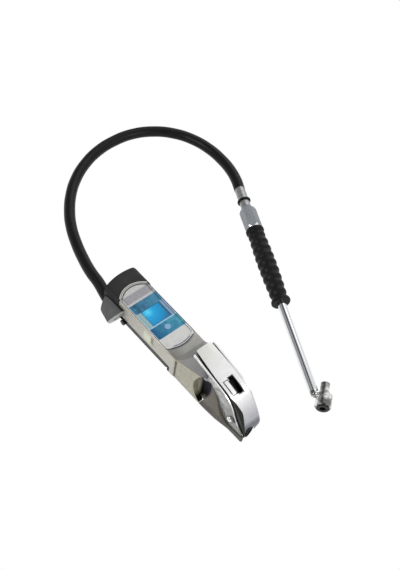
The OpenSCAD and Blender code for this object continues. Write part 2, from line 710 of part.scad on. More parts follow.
module lever() color("#DFE1E3") difference() {
    top = lever_top;
    union() {
        intersection() {
            along_y(-20, 20) polygon(concat(top, reverse(beside(top, lever_t))));
            along_z(0, 90) lever_plan(0);
        }
        intersection() {
            along_y(-20, 20) polygon(concat(top, reverse(spline(skirt_line, 4))));
            difference() {
                along_z(0, 90) lever_plan(0);
                along_z(-1, 91) lever_plan(skirt_t);
            }
        }
        // Lip across the free end, and the rim beside the window
        intersection() {
            along_y(-20, 20) polygon(drawn([[79, 73], [83, 72], [83, 67.4], [81, 67.2], [79, 69]]));
            along_z(0, 90) lever_plan(0);
        }
        intersection() {
            along_y(-10, -3) polygon(concat(beside(top, -0.9), reverse(beside(top, 1))));
            along_z(0, 90) round_box([slot_x - 9, slot_y - 11.6], [slot_x + 9, slot_y - 6.4], 2);
        }
    }
    along_z(30, 90) round_box([slot_x - slot_len / 2, slot_y - slot_w / 2],
        [slot_x + slot_len / 2, slot_y + slot_w / 2], 2);
    rod_y(-20, 20, pin_r + run, pivot[0], pivot[1]);
    rod_x(pivot[0] + 4, handle_end + 18, collar_r + 0.6, inlet_y, inlet_z);
    beyond(handle_end - 0.3, -lever_w / 2, 5.7);
}

module lever_button() color("#B9BCBF") translate(pad_at) rotate([0, lever_tilt, 0])
    translate([0, 0, -pad_h]) cylinder(r = 4, h = pad_h);

module lever_pin() color("#E6E7E8") {
    rod_y(-spine_w / 2 - eps, spine_w / 2 + 1.6, pin_r, pivot[0], pivot[1]);
    intersection() {
        rod_y(-spine_w / 2 - 2.2, 0.7 - spine_w / 2, 4.2, pivot[0], pivot[1]);
        translate([pivot[0], 2.7 - spine_w / 2, pivot[1]]) sphere(5.2);
    }
}

module pin_clip() color("#7E8184") difference() {
    rod_y(spine_w / 2 + 0.1 - 0.7, spine_w / 2 + 0.9, 4.6, pivot[0], pivot[1]);
    rod_y(0, 30, pin_r + fit, pivot[0], pivot[1]);
}

// ---- Hose ----

// A tube swept along points, each ring square to the route
module swept(points, r, sides) {
    n = len(points);
    rings = [for (i = [0 : n - 1])
        let (v = unit(points[min(i + 1, n - 1)] - points[max(i - 1, 0)]),
             a = unit(cross([0, 0, 1], v)), b = cross(v, a))
        for (k = [0 : sides - 1]) points[i] + r * (cos(360 * k / sides) * a + sin(360 * k / sides) * b)];
    walls = [for (i = [0 : n - 2], k = [0 : sides - 1])
        let (a = i * sides + k, b = i * sides + (k + 1) % sides) each [[a, b + sides, b], [a, a + sides, b + sides]]];
    polyhedron(concat(rings, [points[0], points[n - 1]]), concat(walls,
        [for (k = [0 : sides - 1]) [n * sides, k, (k + 1) % sides]],
        [for (k = [0 : sides - 1]) [n * sides + 1, (n - 1) * sides + (k + 1) % sides, (n - 1) * sides + k]]));
}
module hose() color("#191919") swept(route, hose_d / 2 - 0.05, 12);

// ---- Connector ----

module at_joint() translate(joint_at) rotate([0, 0, joint_turn]) children();
module at_chuck() at_joint() translate(chuck_at) rotate([0, 0, chuck_turn]) children();

module hose_ferrule() color("#B4B6B8") at_joint() difference() {
    turned([[0, 4.4], [0, ferrule_r], [4, ferrule_r], [4.6, ferrule_r - 0.5], [7, ferrule_r - 0.5],
        [7.6, ferrule_r], [13, ferrule_r], [13.6, ferrule_r - 0.5], [16, ferrule_r - 0.5],
        [16.6, ferrule_r], [ferrule_len - 0.8, ferrule_r], [ferrule_len, ferrule_r - 0.8],
        [ferrule_len, 4.4]]);
}

module hose_stem() color("#C4C6C8") at_joint() difference() {
    union() {
        rod_x(0, 30, 4.4 - fit);
        rod_x(ferrule_len + 3.1, nut_start - 0.6, 7.2);
        rod_x(nut_start - 1, nut_start + 14.5, 4.8);
    }
    rod_x(-1, 60, 2.6);
}

module swivel_ring() color("#151515") at_joint() difference() {
    turned([[ferrule_len, 4.4], [ferrule_len, 9], [ferrule_len + 0.6, 9.6], [ferrule_len + 2.2, 9.6],
        [ferrule_len + 2.8, 9], [ferrule_len + 2.8, 4.4]]);
}

module swivel_seal() color("#1A1A1A") at_joint() ring_x(nut_start + 6, nut_start + 7.6, 5.7, 4.8 + run);

module connector_nut() color("#8C9196") at_joint() difference() {
    intersection() {
        rod_x_hex(nut_start, nut_end, hex_w / 2);
        turned([[nut_start, 0], [nut_start, 7.6], [nut_start + 2, 8], [nut_start + 7, hex_w / 2 + 0.2],
            [nut_end - 4, hex_w / 2 + 0.2], [nut_end, 10.4], [nut_end, 0]]);
    }
    rod_x(nut_start - 1, nut_start + 15, 4.8 + run);
    rod_x(nut_start + 5.9, nut_start + 7.7, 5.7 + fit);
    rod_x(nut_start, nut_end, 4.2);
    rod_x(tube_start - eps, nut_end + 1, tube_r + fit);
}
module rod_x_hex(x0, x1, r) translate([x0, 0, 0]) rotate([nut_turn, 0, 0]) rotate([0, 90, 0])
    cylinder(r = r, h = x1 - x0, $fn = 6);

// Outer radius of the grip, without its ribs
function grip_body(t) = 10.2 + (grip_r - 1.4 - 10.2) * sin(180 * min(1, max(0, (t - 0.02) / 0.92)));
module grip_sleeve() color("#1B1B1D") {
    pitch = (grip_len - 16) / grip_ribs;
    ribs = [for (i = [0 : grip_ribs - 1], k = [0 : 5])
        let (s = 7 + pitch * (i + k / 6), t = s / grip_len)
        [s, grip_body(t) + 1.4 * pow(sin(180 * (k + 0.5) / 6), 2)]];
    at_joint() translate([grip_start, 0, 0]) difference() {
        turned(concat([[0, tube_r + fit], [0, 12.2], [0.8, 12.9], [4, 12.9], [5.5, 11]], ribs,
            [[grip_len - 8.5, 10.4], [grip_len - 6, 12.2], [grip_len - 4, 13.2], [grip_len - 1.6, 13.3],
             [grip_len, 12.2], [grip_len, tube_r + fit]]));
    }
}

module connector_tube() color("#DDDFE1") at_joint() ring_x(tube_start, tube_end, tube_r, tube_r - tube_wall);

module chuck_body() color("#D9DBDD") difference() {
    union() {
        at_joint() {
            rod_x(tube_end - 16, neck_start, tube_r - tube_wall - fit);
            translate([neck_start, 0, 0]) sphere(elbow_r);
            translate([neck_start, 0, 0]) rotate([0, 0, neck_turn]) rod_x(0, 11, 4.7);
        }
        at_chuck() turned([[stub_end, 0], [stub_end, stub_r - 0.5], [stub_end + 0.5, stub_r], [-4.4, stub_r],
            [-3.2, 7.2], [-2.2, 7.2], [1, nozzle_r], [5, nozzle_r], [5.8, nozzle_r - 0.8],
            [7.4, nozzle_r - 0.8], [7.4, 8.2], [15.4, 8.2], [15.4, 0]]);
    }
    // Port, depressor chamber and seat at each end, and the passages that join them
    at_chuck() {
        rod_x(3, 12, 3.4);
        rod_x(12 - eps, 16, 2);
        rod_x(-10.5, -3, 3);
        rod_x(-13, -10.5 + eps, 2);
        rod_x(stub_end - 1, -12.5, 5 + fit);
        rod_x(-4, 4, 1.2);
    }
    at_joint() {
        rod_x(tube_end - 17, neck_start, 2.5);
        translate([neck_start, 0, 0]) sphere(2.8);
        translate([neck_start, 0, 0]) rotate([0, 0, neck_turn]) rod_x(0, 15, 2.5);
    }
}

module front_nozzle() color("#E3E4E6") at_chuck() difference() {
    turned([[7.5, 8.2 + fit], [7.5, nozzle_r - 0.5], [8.4, nozzle_r], [13, nozzle_r], [13.4, nozzle_r - 0.6],
        [14.4, nozzle_r - 0.6], [15, nozzle_r], [nozzle_end - 1.2, nozzle_r], [nozzle_end, nozzle_r - 1],
        [nozzle_end, 8.2 + fit]]);
}

module front_seal() color("#141414") at_chuck()
    ring_x(15.4, nozzle_end + 1.4, 8.2, port_r);

module front_depressor() color("#C9A24A") at_chuck() {
    rod_x(8.2, 10, 3.1);
    rod_x(10 - eps, 15.2, 1.5);
}

module front_spring() color("#A7AAAD") at_chuck() ring_x(3.1, 8.1, 3, 2.2);

module rear_seal() color("#141414") at_chuck() ring_x(stub_end + 0.3, -12.6, 5, port_r);

module rear_depressor() color("#C9A24A") at_chuck() {
    rod_x(-8.5, -6.7, 2.7);
    rod_x(-12.4, -8.5 + eps, 1.5);
}

module rear_spring() color("#A7AAAD") at_chuck() ring_x(-6.6, -3.1, 2.7, 2);

head_casting();
bezel();
label_overlay();
display_gasket();
display_window();
lcd_panel();
backlight();
circuit_board();
board_chips();
pressure_sensor();
button_switch();
unit_button();
battery_tray();
batteries();
battery_contacts();
back_cover();
cover_screws();
rest_pad();
side_buffer();
end_cap();
cap_screws();
outlet_fitting();
outlet_plug();
air_tube();
handle_casting();
handle_screws();
valve_block();
block_screws();
left_cheek();
right_cheek();
inlet_bush();
inlet_collar();
inlet_filter();
valve_sleeve();
valve_gland();
valve_plunger();
plunger_seal();
plunger_spring();
exhaust_silencer();
lever();
lever_button();
lever_pin();
pin_clip();
hose();
hose_ferrule();
hose_stem();
swivel_ring();
swivel_seal();
connector_nut();
grip_sleeve();
connector_tube();
chuck_body();
front_nozzle();
front_seal();
front_depressor();
front_spring();
rear_seal();
rear_depressor();
rear_spring();
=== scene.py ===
"""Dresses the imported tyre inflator: its castings, label, lever, hose and twin hold-on connector."""

import math

import bpy
from bpy.props import FloatProperty, FloatVectorProperty, IntProperty, PointerProperty
from mathutils import Matrix, Vector


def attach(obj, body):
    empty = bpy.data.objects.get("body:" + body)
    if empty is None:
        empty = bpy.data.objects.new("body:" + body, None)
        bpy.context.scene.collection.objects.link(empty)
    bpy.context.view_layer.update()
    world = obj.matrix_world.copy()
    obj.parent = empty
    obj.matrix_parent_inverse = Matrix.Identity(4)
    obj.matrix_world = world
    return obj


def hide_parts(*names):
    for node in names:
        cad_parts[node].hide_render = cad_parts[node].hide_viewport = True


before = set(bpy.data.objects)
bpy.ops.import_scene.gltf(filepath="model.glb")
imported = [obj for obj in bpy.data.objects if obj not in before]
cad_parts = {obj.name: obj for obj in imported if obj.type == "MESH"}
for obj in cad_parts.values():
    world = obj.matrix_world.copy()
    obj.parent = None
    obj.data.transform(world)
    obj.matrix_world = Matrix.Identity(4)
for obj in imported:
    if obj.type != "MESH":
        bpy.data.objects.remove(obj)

bl_info = {
    "name": "Tyre inflator with gauge",
    "version": (1, 0, 0),
    "blender": (4, 5, 0),
    "location": "3D View > Sidebar > Inflator",
    "description": "Builds the looks of a hand-held tyre inflator around its solids",
    "category": "Add Mesh",
}

MM = 0.001


def linear(code):
    """A colour from its sRGB hex value, as Blender's linear numbers."""
    parts = [int(code[i : i + 2], 16) / 255 for i in (0, 2, 4)]
    return tuple(p / 12.92 if p <= 0.04045 else ((p + 0.055) / 1.055) ** 2.4 for p in parts)


# ---- Sizes and colours that a user would change ----


class InflatorSizes(bpy.types.PropertyGroup):
    hose_diameter: FloatProperty(
        name="Hose diameter", description="Outside of the rubber hose",
        default=0.0159, unit="LENGTH",
    )
    casting_edge: FloatProperty(
        name="Casting edge", description="Radius on the edges of the castings",
        default=0.0009, unit="LENGTH",
    )
    plate_edge: FloatProperty(
        name="Plate edge", description="Radius on the edges of the lever and cheeks",
        default=0.0006, unit="LENGTH",
    )
    turned_edge: FloatProperty(
        name="Turned edge", description="Break on the edges of turned pieces",
        default=0.0003, unit="LENGTH",
    )
    moulded_edge: FloatProperty(
        name="Moulded edge", description="Radius on the edges of moulded pieces",
        default=0.0008, unit="LENGTH",
    )
    edge_steps: IntProperty(
        name="Edge steps", description="Faces across a rounded edge", default=3, min=1, max=6,
    )


class InflatorColours(bpy.types.PropertyGroup):
    casting: FloatVectorProperty(
        name="Casting", description="Silver coat of the castings",
        subtype="COLOR", default=linear("BAB8AE"),
    )
    block: FloatVectorProperty(
        name="Valve block", description="Taupe coat of the valve block",
        subtype="COLOR", default=linear("68645B"),
    )
    cap: FloatVectorProperty(
        name="End cap", description="Dark moulded end cap",
        subtype="COLOR", default=linear("2C2C2D"),
    )
    rubber: FloatVectorProperty(
        name="Rubber", description="Hose, grip and seals",
        subtype="COLOR", default=linear("141415"),
    )
    label: FloatVectorProperty(
        name="Label blue", description="Blue bands of the label",
        subtype="COLOR", default=linear("155C86"),
    )
    display: FloatVectorProperty(
        name="Display", description="Lit display",
        subtype="COLOR", default=linear("0FA6E0"),
    )
    nut: FloatVectorProperty(
        name="Nut", description="Nickel plate of the connector nut",
        subtype="COLOR", default=linear("8C9196"),
    )


def sizes():
    return bpy.context.scene.inflator_sizes


def colours():
    return bpy.context.scene.inflator_colours


# ---- Nodes that the materials share ----


def add(tree, kind, settings=None, sockets=None):
    """Adds a node, sets its settings, and sets or links its sockets."""
    made = tree.nodes.new("ShaderNode" + kind)
    for key, value in (settings or {}).items():
        setattr(made, key, value)
    for key, value in (sockets or {}).items():
        if isinstance(value, bpy.types.NodeSocket):
            tree.links.new(value, made.inputs[key])
        else:
            made.inputs[key].default_value = value
    return made


def rgba(colour, shade=1.0):
    """A linear colour with full alpha, made darker or lighter by the shade."""
    return (*[min(1.0, c * shade) for c in colour], 1.0)


def plain(code):
    """One flat colour from its sRGB hex value."""
    return rgba(linear(code))


def begin(name):
    """A new material with an empty tree, and its object coordinates."""
    material = bpy.data.materials.new(name)
    material.use_nodes = True
    tree = material.node_tree
    tree.nodes.clear()
    return material, tree, add(tree, "TexCoord").outputs["Object"]


def close(tree, shader):
    """Sends a shader to the surface of its material."""
    add(tree, "OutputMaterial", None, {"Surface": shader.outputs[0]})


def shaded(material, tree, sockets):
    """Closes a material with one principled shader."""
    close(tree, add(tree, "BsdfPrincipled", None, sockets))
    return material


def calc(tree, operation, *values):
    """The result of one sum on numbers or sockets."""
    return add(tree, "Math", {"operation": operation}, dict(enumerate(values))).outputs[0]


def both(tree, first, second):
    """1 only where both shares are 1."""
    return calc(tree, "MULTIPLY", first, second)


def ramp(tree, value, low, high):
    """0 at low, 1 at high, and a straight ramp between them."""
    sockets = {"Value": value, "From Min": low, "From Max": high}
    return add(tree, "MapRange", None, sockets).outputs[0]


def step(tree, value, low, high):
    """The same ramp between two places in millimetres."""
    return ramp(tree, value, low * MM, high * MM)


def span(tree, value, low, high, soft):
    """1 between two places in millimetres, 0 outside them, and soft at both ends."""
    return both(tree, step(tree, value, low, low + soft), step(tree, value, high, high - soft))


def blend(tree, share, first, second):
    """The first colour where the share is 0, and the second where it is 1."""
    return add(tree, "Mix", {"data_type": "RGBA"}, {0: share, 6: first, 7: second}).outputs[2]


def colour_stops(tree, share, first, last, *between):
    """A run of colours, each given as its place and colour."""
    made = add(tree, "ValToRGB", None, {"Fac": share})
    stops = made.color_ramp.elements
    stops[0].position, stops[0].color = first
    stops[1].position, stops[1].color = last
    for place, colour in between:
        stops.new(place).color = colour
    return made.outputs["Color"]


def cloud(tree, where, size_mm, detail, rough=0.5):
    """Soft noise, from 0 to 1, with spots of the given size."""
    sockets = {"Vector": where, "Scale": 1000 / size_mm, "Detail": detail, "Roughness": rough}
    return add(tree, "TexNoise", None, sockets).outputs["Fac"]


def mottled(tree, where, colour, spread, size_mm):
    """A colour that drifts a little between a darker and a lighter shade."""
    drift = cloud(tree, where, size_mm, 3.0, 0.55)
    darker, lighter = rgba(colour, 1 - spread), rgba(colour, 1 + spread)
    return colour_stops(tree, drift, (0.3, darker), (0.7, lighter))


def grain(tree, where, size_mm, depth_mm, strength, under=None, detail=2.0):
    """A fine relief of the given grain size and depth."""
    height = cloud(tree, where, size_mm, detail)
    sockets = {"Height": height, "Distance": depth_mm * MM, "Strength": strength}
    if under is not None:
        sockets["Normal"] = under
    return add(tree, "Bump", None, sockets).outputs["Normal"]


def uneven(tree, where, low, high, size_mm):
    """A roughness that varies with handling marks."""
    marks = cloud(tree, where, size_mm, 4.0)
    sockets = {"Value": marks, "From Min": 0.3, "From Max": 0.7, "To Min": low, "To Max": high}
    return add(tree, "MapRange", None, sockets).outputs[0]


def places(tree, where):
    """The X, Y and Z of each point, in metres."""
    place = add(tree, "SeparateXYZ", None, {"Vector": where})
    return place.outputs["X"], place.outputs["Y"], place.outputs["Z"]


def distance(tree, where, axes, centre):
    """The distance of each point from a place, in metres, along the axes that are marked 1."""
    flat = add(tree, "VectorMath", {"operation": "MULTIPLY"}, {0: where, 1: axes}).outputs[0]
    centre = tuple(v * MM for v in centre)
    sockets = {0: flat, 1: centre}
    return add(tree, "VectorMath", {"operation": "DISTANCE"}, sockets).outputs["Value"]


def side_distance(tree, where, x, z):
    """The distance of each point from a line along Y, in metres."""
    return distance(tree, where, (1, 0, 1), (x, 0, z))


def box_distance(tree, x, y, centre, half):
    """How far each point lies outside a rectangle in plan, in metres: negative inside it."""
    out = []
    for value, middle, reach in ((x, centre[0], half[0]), (y, centre[1], half[1])):
        away = calc(tree, "ABSOLUTE", calc(tree, "SUBTRACT", value, middle * MM))
        out.append(calc(tree, "SUBTRACT", away, reach * MM))
    return calc(tree, "MAXIMUM", *out)


# ---- Coated castings ----
# The tables name where each paint changes, in millimetres of the object's frame.


def coated(material, tree, where, colour, rough, metallic, dull=0.0):
    """Satin metallic coat: a fine sparkle under soft highlights, and none where it is dull."""
    shine = calc(tree, "SUBTRACT", 1.0, dull)
    return shaded(material, tree, {
        "Base Color": colour,
        "Metallic": both(tree, shine, metallic),
        "Specular IOR Level": both(tree, shine, 0.5),
        "Roughness": uneven(tree, where, rough - 0.05, rough + 0.06, 9),
        "Normal": grain(tree, where, 0.7, 0.02, 0.5),
    })


HEAD = {
    "wall_fade_x": (-20, 50),
    "painted_highlight_x": (-2, 15), "painted_highlight_z": (15, 37),
    "catch_shade_x": (13, 19), "catch_shade_z": (21, 36),
    "side_y": (19.5, 20),
    "long_seal_x": (-70, 3), "long_seal_z": (12.8, 12.2),
    "short_seal_x": (9, 52), "short_seal_z": (11, 10.4),
    "deck_x": (24, 48), "deck_z": (36.6, 38), "deck_fade_y": (-24, -6),
    "joint_shade_x": (58.9, 62), "joint_shade_z": (36, 33),
}


def head_coat(name, silver):
    """Satin coat on the head: cream-silver walls over a black edge seal, and a greyer deck, with a
    painted highlight, the catch's painted shade and painted shade at the joint.
    """
    material, tree, where = begin(name)
    x, y, z = places(tree, where)
    far_walls = mottled(tree, where, linear("AEACA2"), 0.06, 7)
    near_walls = mottled(tree, where, silver, 0.05, 8)
    colour = blend(tree, step(tree, x, *HEAD["wall_fade_x"]), far_walls, near_walls)

    # painted highlight: a pale patch that stands for small nicks of light on the side wall
    painted_highlight = both(tree, span(tree, x, *HEAD["painted_highlight_x"], 3), span(tree, z, *HEAD["painted_highlight_z"], 4))
    colour = blend(tree, painted_highlight, colour, mottled(tree, where, linear("CFD0BC"), 0.06, 4))
    # painted shade: a dark mark that stands for the shade of the catch
    catch_shade = both(tree, span(tree, x, *HEAD["catch_shade_x"], 1), span(tree, z, *HEAD["catch_shade_z"], 2))
    colour = blend(tree, catch_shade, colour, plain("86846F"))

    seals = [
        both(tree, span(tree, x, *HEAD[seal + "_x"], 2), step(tree, z, *HEAD[seal + "_z"]))
        for seal in ("long_seal", "short_seal")
    ]
    side = step(tree, calc(tree, "ABSOLUTE", y), *HEAD["side_y"])
    seal = both(tree, calc(tree, "MAXIMUM", *seals), side)
    colour = blend(tree, seal, colour, plain("1E1F1C"))

    deck_tint = mottled(tree, where, linear("A09F9B"), 0.07, 5)
    deck_tint = blend(tree, step(tree, y, *HEAD["deck_fade_y"]), plain("77766E"), deck_tint)
    deck = both(tree, step(tree, z, *HEAD["deck_z"]), step(tree, x, *HEAD["deck_x"]))
    colour = blend(tree, deck, colour, deck_tint)
    # painted shade: a dark band at the joint with the handle, below the deck
    joint_shade = both(tree, span(tree, x, *HEAD["joint_shade_x"], 0.3), step(tree, z, *HEAD["joint_shade_z"]))
    colour = blend(tree, joint_shade, colour, plain("4A443A"))
    return coated(material, tree, where, colour, 0.42, 0.3, seal)


HANDLE = {
    "band_slope": -0.28, "band_edge": (22.4, 23.2), "ridge_shade_line": (21.6, 23.0),
    "flank_fade_x": (62, 96), "flank_end_shade_x": (100, 111),
    "joint_shade_x": (57, 63.4), "joint_shade_z": (38, 35),
    "scoop_centre": (126, 30), "scoop_radius": (31.7, 31.2), "scoop_fade_z": (14, 58),
    "lit_x": (103, 98), "lit_z": (54, 44),
}


def handle_coat(name, cream):
    """Satin coat on the handle: an olive-cream band, grey flanks partly of painted reflection, and
    painted shade with a painted lit patch in the scoop.
    """
    material, tree, where = begin(name)
    x, _, z = places(tree, where)
    edge = calc(tree, "MULTIPLY_ADD", x, HANDLE["band_slope"], z)
    # two-tone coat: grey flanks over a cream band, the grey partly painted reflection where the coat
    # turns away
    near_flank = mottled(tree, where, linear("8C8B87"), 0.08, 5)
    far_flank = mottled(tree, where, linear("7A7A7B"), 0.08, 5)
    flank = blend(tree, step(tree, x, *HANDLE["flank_fade_x"]), near_flank, far_flank)
    # painted shade: the flank darkens towards the scoop
    flank = blend(tree, step(tree, x, *HANDLE["flank_end_shade_x"]), flank, plain("4E4D55"))
    band = mottled(tree, where, cream, 0.15, 5)
    colour = blend(tree, step(tree, edge, *HANDLE["band_edge"]), band, flank)
    # painted shade: a dark line along the ridge between the band and the flank
    colour = blend(tree, span(tree, edge, *HANDLE["ridge_shade_line"], 0.5), colour, plain("6B665A"))

    # painted shade: a dark band at the joint with the head, below the top
    joint_shade_x = span(tree, x, *HANDLE["joint_shade_x"], 0.6)
    joint_shade = both(tree, joint_shade_x, step(tree, z, *HANDLE["joint_shade_z"]))
    colour = blend(tree, joint_shade, colour, plain("5A5344"))

    away = side_distance(tree, where, *HANDLE["scoop_centre"])
    scoop = step(tree, away, *HANDLE["scoop_radius"])
    deep = step(tree, z, *HANDLE["scoop_fade_z"])
    shade = blend(tree, deep, plain("17160F"), plain("4B4752"))
    # painted light: a lit patch at the scoop's upper edge, over the painted shade
    lit = both(tree, step(tree, x, *HANDLE["lit_x"]), step(tree, z, *HANDLE["lit_z"]))
    shade = blend(tree, lit, shade, mottled(tree, where, linear("A09C88"), 0.07, 5))
    return coated(material, tree, where, blend(tree, scoop, colour, shade), 0.45, 0.2, scoop)


BLOCK = {
    "foot_z": (16, 8), "top_z": (44, 58),
    "scoop_centre": (85, 38), "scoop_radius": (37.5, 34), "scoop_fade_z": (14, 52),
    "least_dull": 0.45,
}


def block_coat(name, taupe):
    """Satin taupe coat on the block: in shade beside the scoop, darker at its foot, greyer above."""
    material, tree, where = begin(name)
    _, _, z = places(tree, where)
    body = mottled(tree, where, taupe, 0.06, 6)
    foot = mottled(tree, where, linear("4C4A44"), 0.06, 6)
    colour = blend(tree, step(tree, z, *BLOCK["foot_z"]), body, foot)
    colour = blend(tree, step(tree, z, *BLOCK["top_z"]), colour, plain("5C5B5A"))
    shade = blend(tree, step(tree, z, *BLOCK["scoop_fade_z"]), plain("1B1A14"), plain("34323A"))
    away = side_distance(tree, where, *BLOCK["scoop_centre"])
    scoop = step(tree, away, *BLOCK["scoop_radius"])
    dull = calc(tree, "MAXIMUM", scoop, BLOCK["least_dull"])
    return coated(material, tree, where, blend(tree, scoop, colour, shade), 0.42, 0.25, dull)


def sintered_bronze(name, colour):
    """Sintered bronze: rough and matt, with a fine sparkle from its grains."""
    material, tree, where = begin(name)
    return coated(material, tree, where, mottled(tree, where, colour, 0.06, 6), 0.6, 0.5)


def nut_plate(name, colour):
    """Bead-blasted nickel on the hexagonal nut: an even blue-grey with a fine sparkle."""
    material, tree, where = begin(name)
    return coated(material, tree, where, mottled(tree, where, colour, 0.1, 2.5), 0.45, 0.35)


# ---- Plated and turned metal ----


def chrome_plate(name, colour, rough):
    """Polished steel under bright chrome: near-mirror, with long waves and hairline wipe marks."""
    material, tree, where = begin(name)
    waves = grain(tree, where, 22, 0.05, 0.35, detail=0.0)
    return shaded(material, tree, {
        "Base Color": mottled(tree, where, colour, 0.03, 12),
        "Metallic": 1.0,
        "Roughness": uneven(tree, where, rough, rough + 0.08, 5),
        "Normal": grain(tree, where, 0.5, 0.003, 0.4, under=waves),
    })


LEVER = {
    "plate_fade_x": (92, 120), "bend_x": (157, 173), "bend_shade_x": (174.5, 190),
    "far_edge_shade_y": (12.4, 13.6),
    "crescent_start_x": (148, 165), "crescent_end_x": (186, 168),
    "crescent_width": 6.2, "near_edge_y": -13.8,
    "window": ((138.6, 2.2), (12.2, 4.3)),
    "recess": ((139.6, -2.7), (8.8, 1.6)),
    "tab": ((138.2, -6.7), (9.2, 2.7)),
}


def lever_chrome(name):
    """Satin chrome on the pressed lever: warm white, with painted shade in cooler grey round its bend
    and along its far edge, a painted dark crescent of shade on the bend's near side, painted shade
    about its window and tab, and a painted highlight on the tab."""
    material, tree, where = begin(name)
    x, y, _ = places(tree, where)
    front = mottled(tree, where, linear("E8E8E4"), 0.03, 9)
    middle = mottled(tree, where, linear("F2F2F3"), 0.03, 8)
    colour = blend(tree, step(tree, x, *LEVER["plate_fade_x"]), front, middle)
    # painted shade: cooler grey round the bend, deeper still at the tail
    painted_bend_shade = mottled(tree, where, linear("B4B4BA"), 0.08, 6)
    colour = blend(tree, step(tree, x, *LEVER["bend_x"]), colour, painted_bend_shade)
    bend_shade = mottled(tree, where, linear("74777C"), 0.14, 4)
    colour = blend(tree, span(tree, x, *LEVER["bend_shade_x"], 3), colour, bend_shade)
    # painted shade: greyer along the far edge
    colour = blend(tree, step(tree, y, *LEVER["far_edge_shade_y"]), colour, plain("C2C2C4"))

    # painted shade: a dark crescent across the near side of the bend
    starts = step(tree, x, *LEVER["crescent_start_x"])
    swell = both(tree, starts, step(tree, x, *LEVER["crescent_end_x"]))
    width, edge = LEVER["crescent_width"] * MM, LEVER["near_edge_y"] * MM
    beyond = calc(tree, "SUBTRACT", calc(tree, "MULTIPLY_ADD", swell, width, edge), y)
    colour = blend(tree, step(tree, beyond, 0, 0.4), colour, plain("262822"))

    # painted shade: a darker ring round the window and a dark recess inside it
    window = box_distance(tree, x, y, *LEVER["window"])
    colour = blend(tree, step(tree, window, 0.5, 0), colour, plain("6E6F72"))
    recess = box_distance(tree, x, y, *LEVER["recess"])
    colour = blend(tree, step(tree, recess, 0.3, 0), colour, plain("141415"))
    # painted shade round the tab's outline, and a painted highlight on the tab
    tab = box_distance(tree, x, y, *LEVER["tab"])
    colour = blend(tree, step(tree, tab, 1.1, 0.8), colour, plain("48494B"))
    colour = blend(tree, step(tree, tab, 0, -0.2), colour, plain("F4F4F4"))
    return shaded(material, tree, {
        "Base Color": colour,
        "Metallic": 0.7,
        "Roughness": uneven(tree, where, 0.28, 0.4, 6),
        "Normal": grain(tree, where, 0.5, 0.004, 0.4),
    })


CHEEK = {
    "fade_x": (132, 160),
    "shade_centre": (160.4, 26.4), "shade_radius": (5.8, 5.3),
    "clear_centre": (156.8, 21.4), "clear_radius": (4.8, 5.3),
}


def cheek_plate(name):
    """Satin plate on the cheeks: marbled grey of painted reflections, darker towards the pin, with a
    painted dark crescent of shade beside the pin.
    """
    material, tree, where = begin(name)
    x, _, _ = places(tree, where)
    # painted reflections: marbled light and dark patches
    patches = ramp(tree, cloud(tree, where, 7, 3.0, 0.6), 0.4, 0.62)
    marble = blend(tree, patches, plain("8E8E8D"), plain("C6C6C4"))
    darker_towards_pin = mottled(tree, where, linear("8C8C8A"), 0.16, 4)
    marble = blend(tree, step(tree, x, *CHEEK["fade_x"]), marble, darker_towards_pin)
    shade = side_distance(tree, where, *CHEEK["shade_centre"])
    clear = side_distance(tree, where, *CHEEK["clear_centre"])
    crescent = both(
        tree, step(tree, shade, *CHEEK["shade_radius"]), step(tree, clear, *CHEEK["clear_radius"])
    )
    return shaded(material, tree, {
        "Base Color": blend(tree, crescent, marble, plain("1A1A1A")),
        "Metallic": 0.6,
        "Roughness": uneven(tree, where, 0.3, 0.42, 6),
        "Normal": grain(tree, where, 1.2, 0.01, 0.5),
    })


PIN = {"centre": (154.9, 18.6), "mark_radius": (1.2, 0.7)}


def pin_steel(name):
    """Polished pin head with a dark centre mark left by turning."""
    material, tree, where = begin(name)
    mark = step(tree, side_distance(tree, where, *PIN["centre"]), *PIN["mark_radius"])
    polish = mottled(tree, where, linear("E9EAEB"), 0.03, 4)
    return shaded(material, tree, {
        "Base Color": blend(tree, mark, polish, plain("2A2A2A")),
        "Metallic": 0.9,
        "Roughness": uneven(tree, where, 0.14, 0.22, 3),
    })


def chuck_plate(name):
    """Chrome on a turned brass body: bright, with grey patches of painted shade and reflection."""
    material, tree, where = begin(name)
    # painted shade and reflection: grey and bright patches at random
    patches = colour_stops(
        tree, cloud(tree, where, 11, 1.0),
        (0.38, plain("767674")), (0.6, plain("E6E6E5")), (0.48, plain("A2A3A0")),
    )
    return shaded(material, tree, {
        "Base Color": patches,
        "Metallic": 0.9,
        "Roughness": uneven(tree, where, 0.12, 0.22, 5),
        "Normal": grain(tree, where, 0.5, 0.003, 0.4),
    })


def brushed_plate(name, colour, rough):
    """Brushed or turned metal, bare or plated: fine lines in one direction."""
    material, tree, where = begin(name)
    lines = add(tree, "Mapping", None, {"Vector": where, "Scale": (0.08, 1, 1)}).outputs[0]
    return shaded(material, tree, {
        "Base Color": mottled(tree, where, colour, 0.06, 4),
        "Metallic": 1.0,
        "Roughness": uneven(tree, where, rough - 0.06, rough + 0.1, 3),
        "Normal": grain(tree, lines, 0.4, 0.01, 0.5),
    })


# ---- Plastics, rubber and lacquer ----

CAP = {
    "top_fade_y": (-24, 4), "lug_y": (-27.56, -27.7), "lug_fade_z": (4, 22),
    "lug_crease_shade_y": (-28.9, -27.56),
}


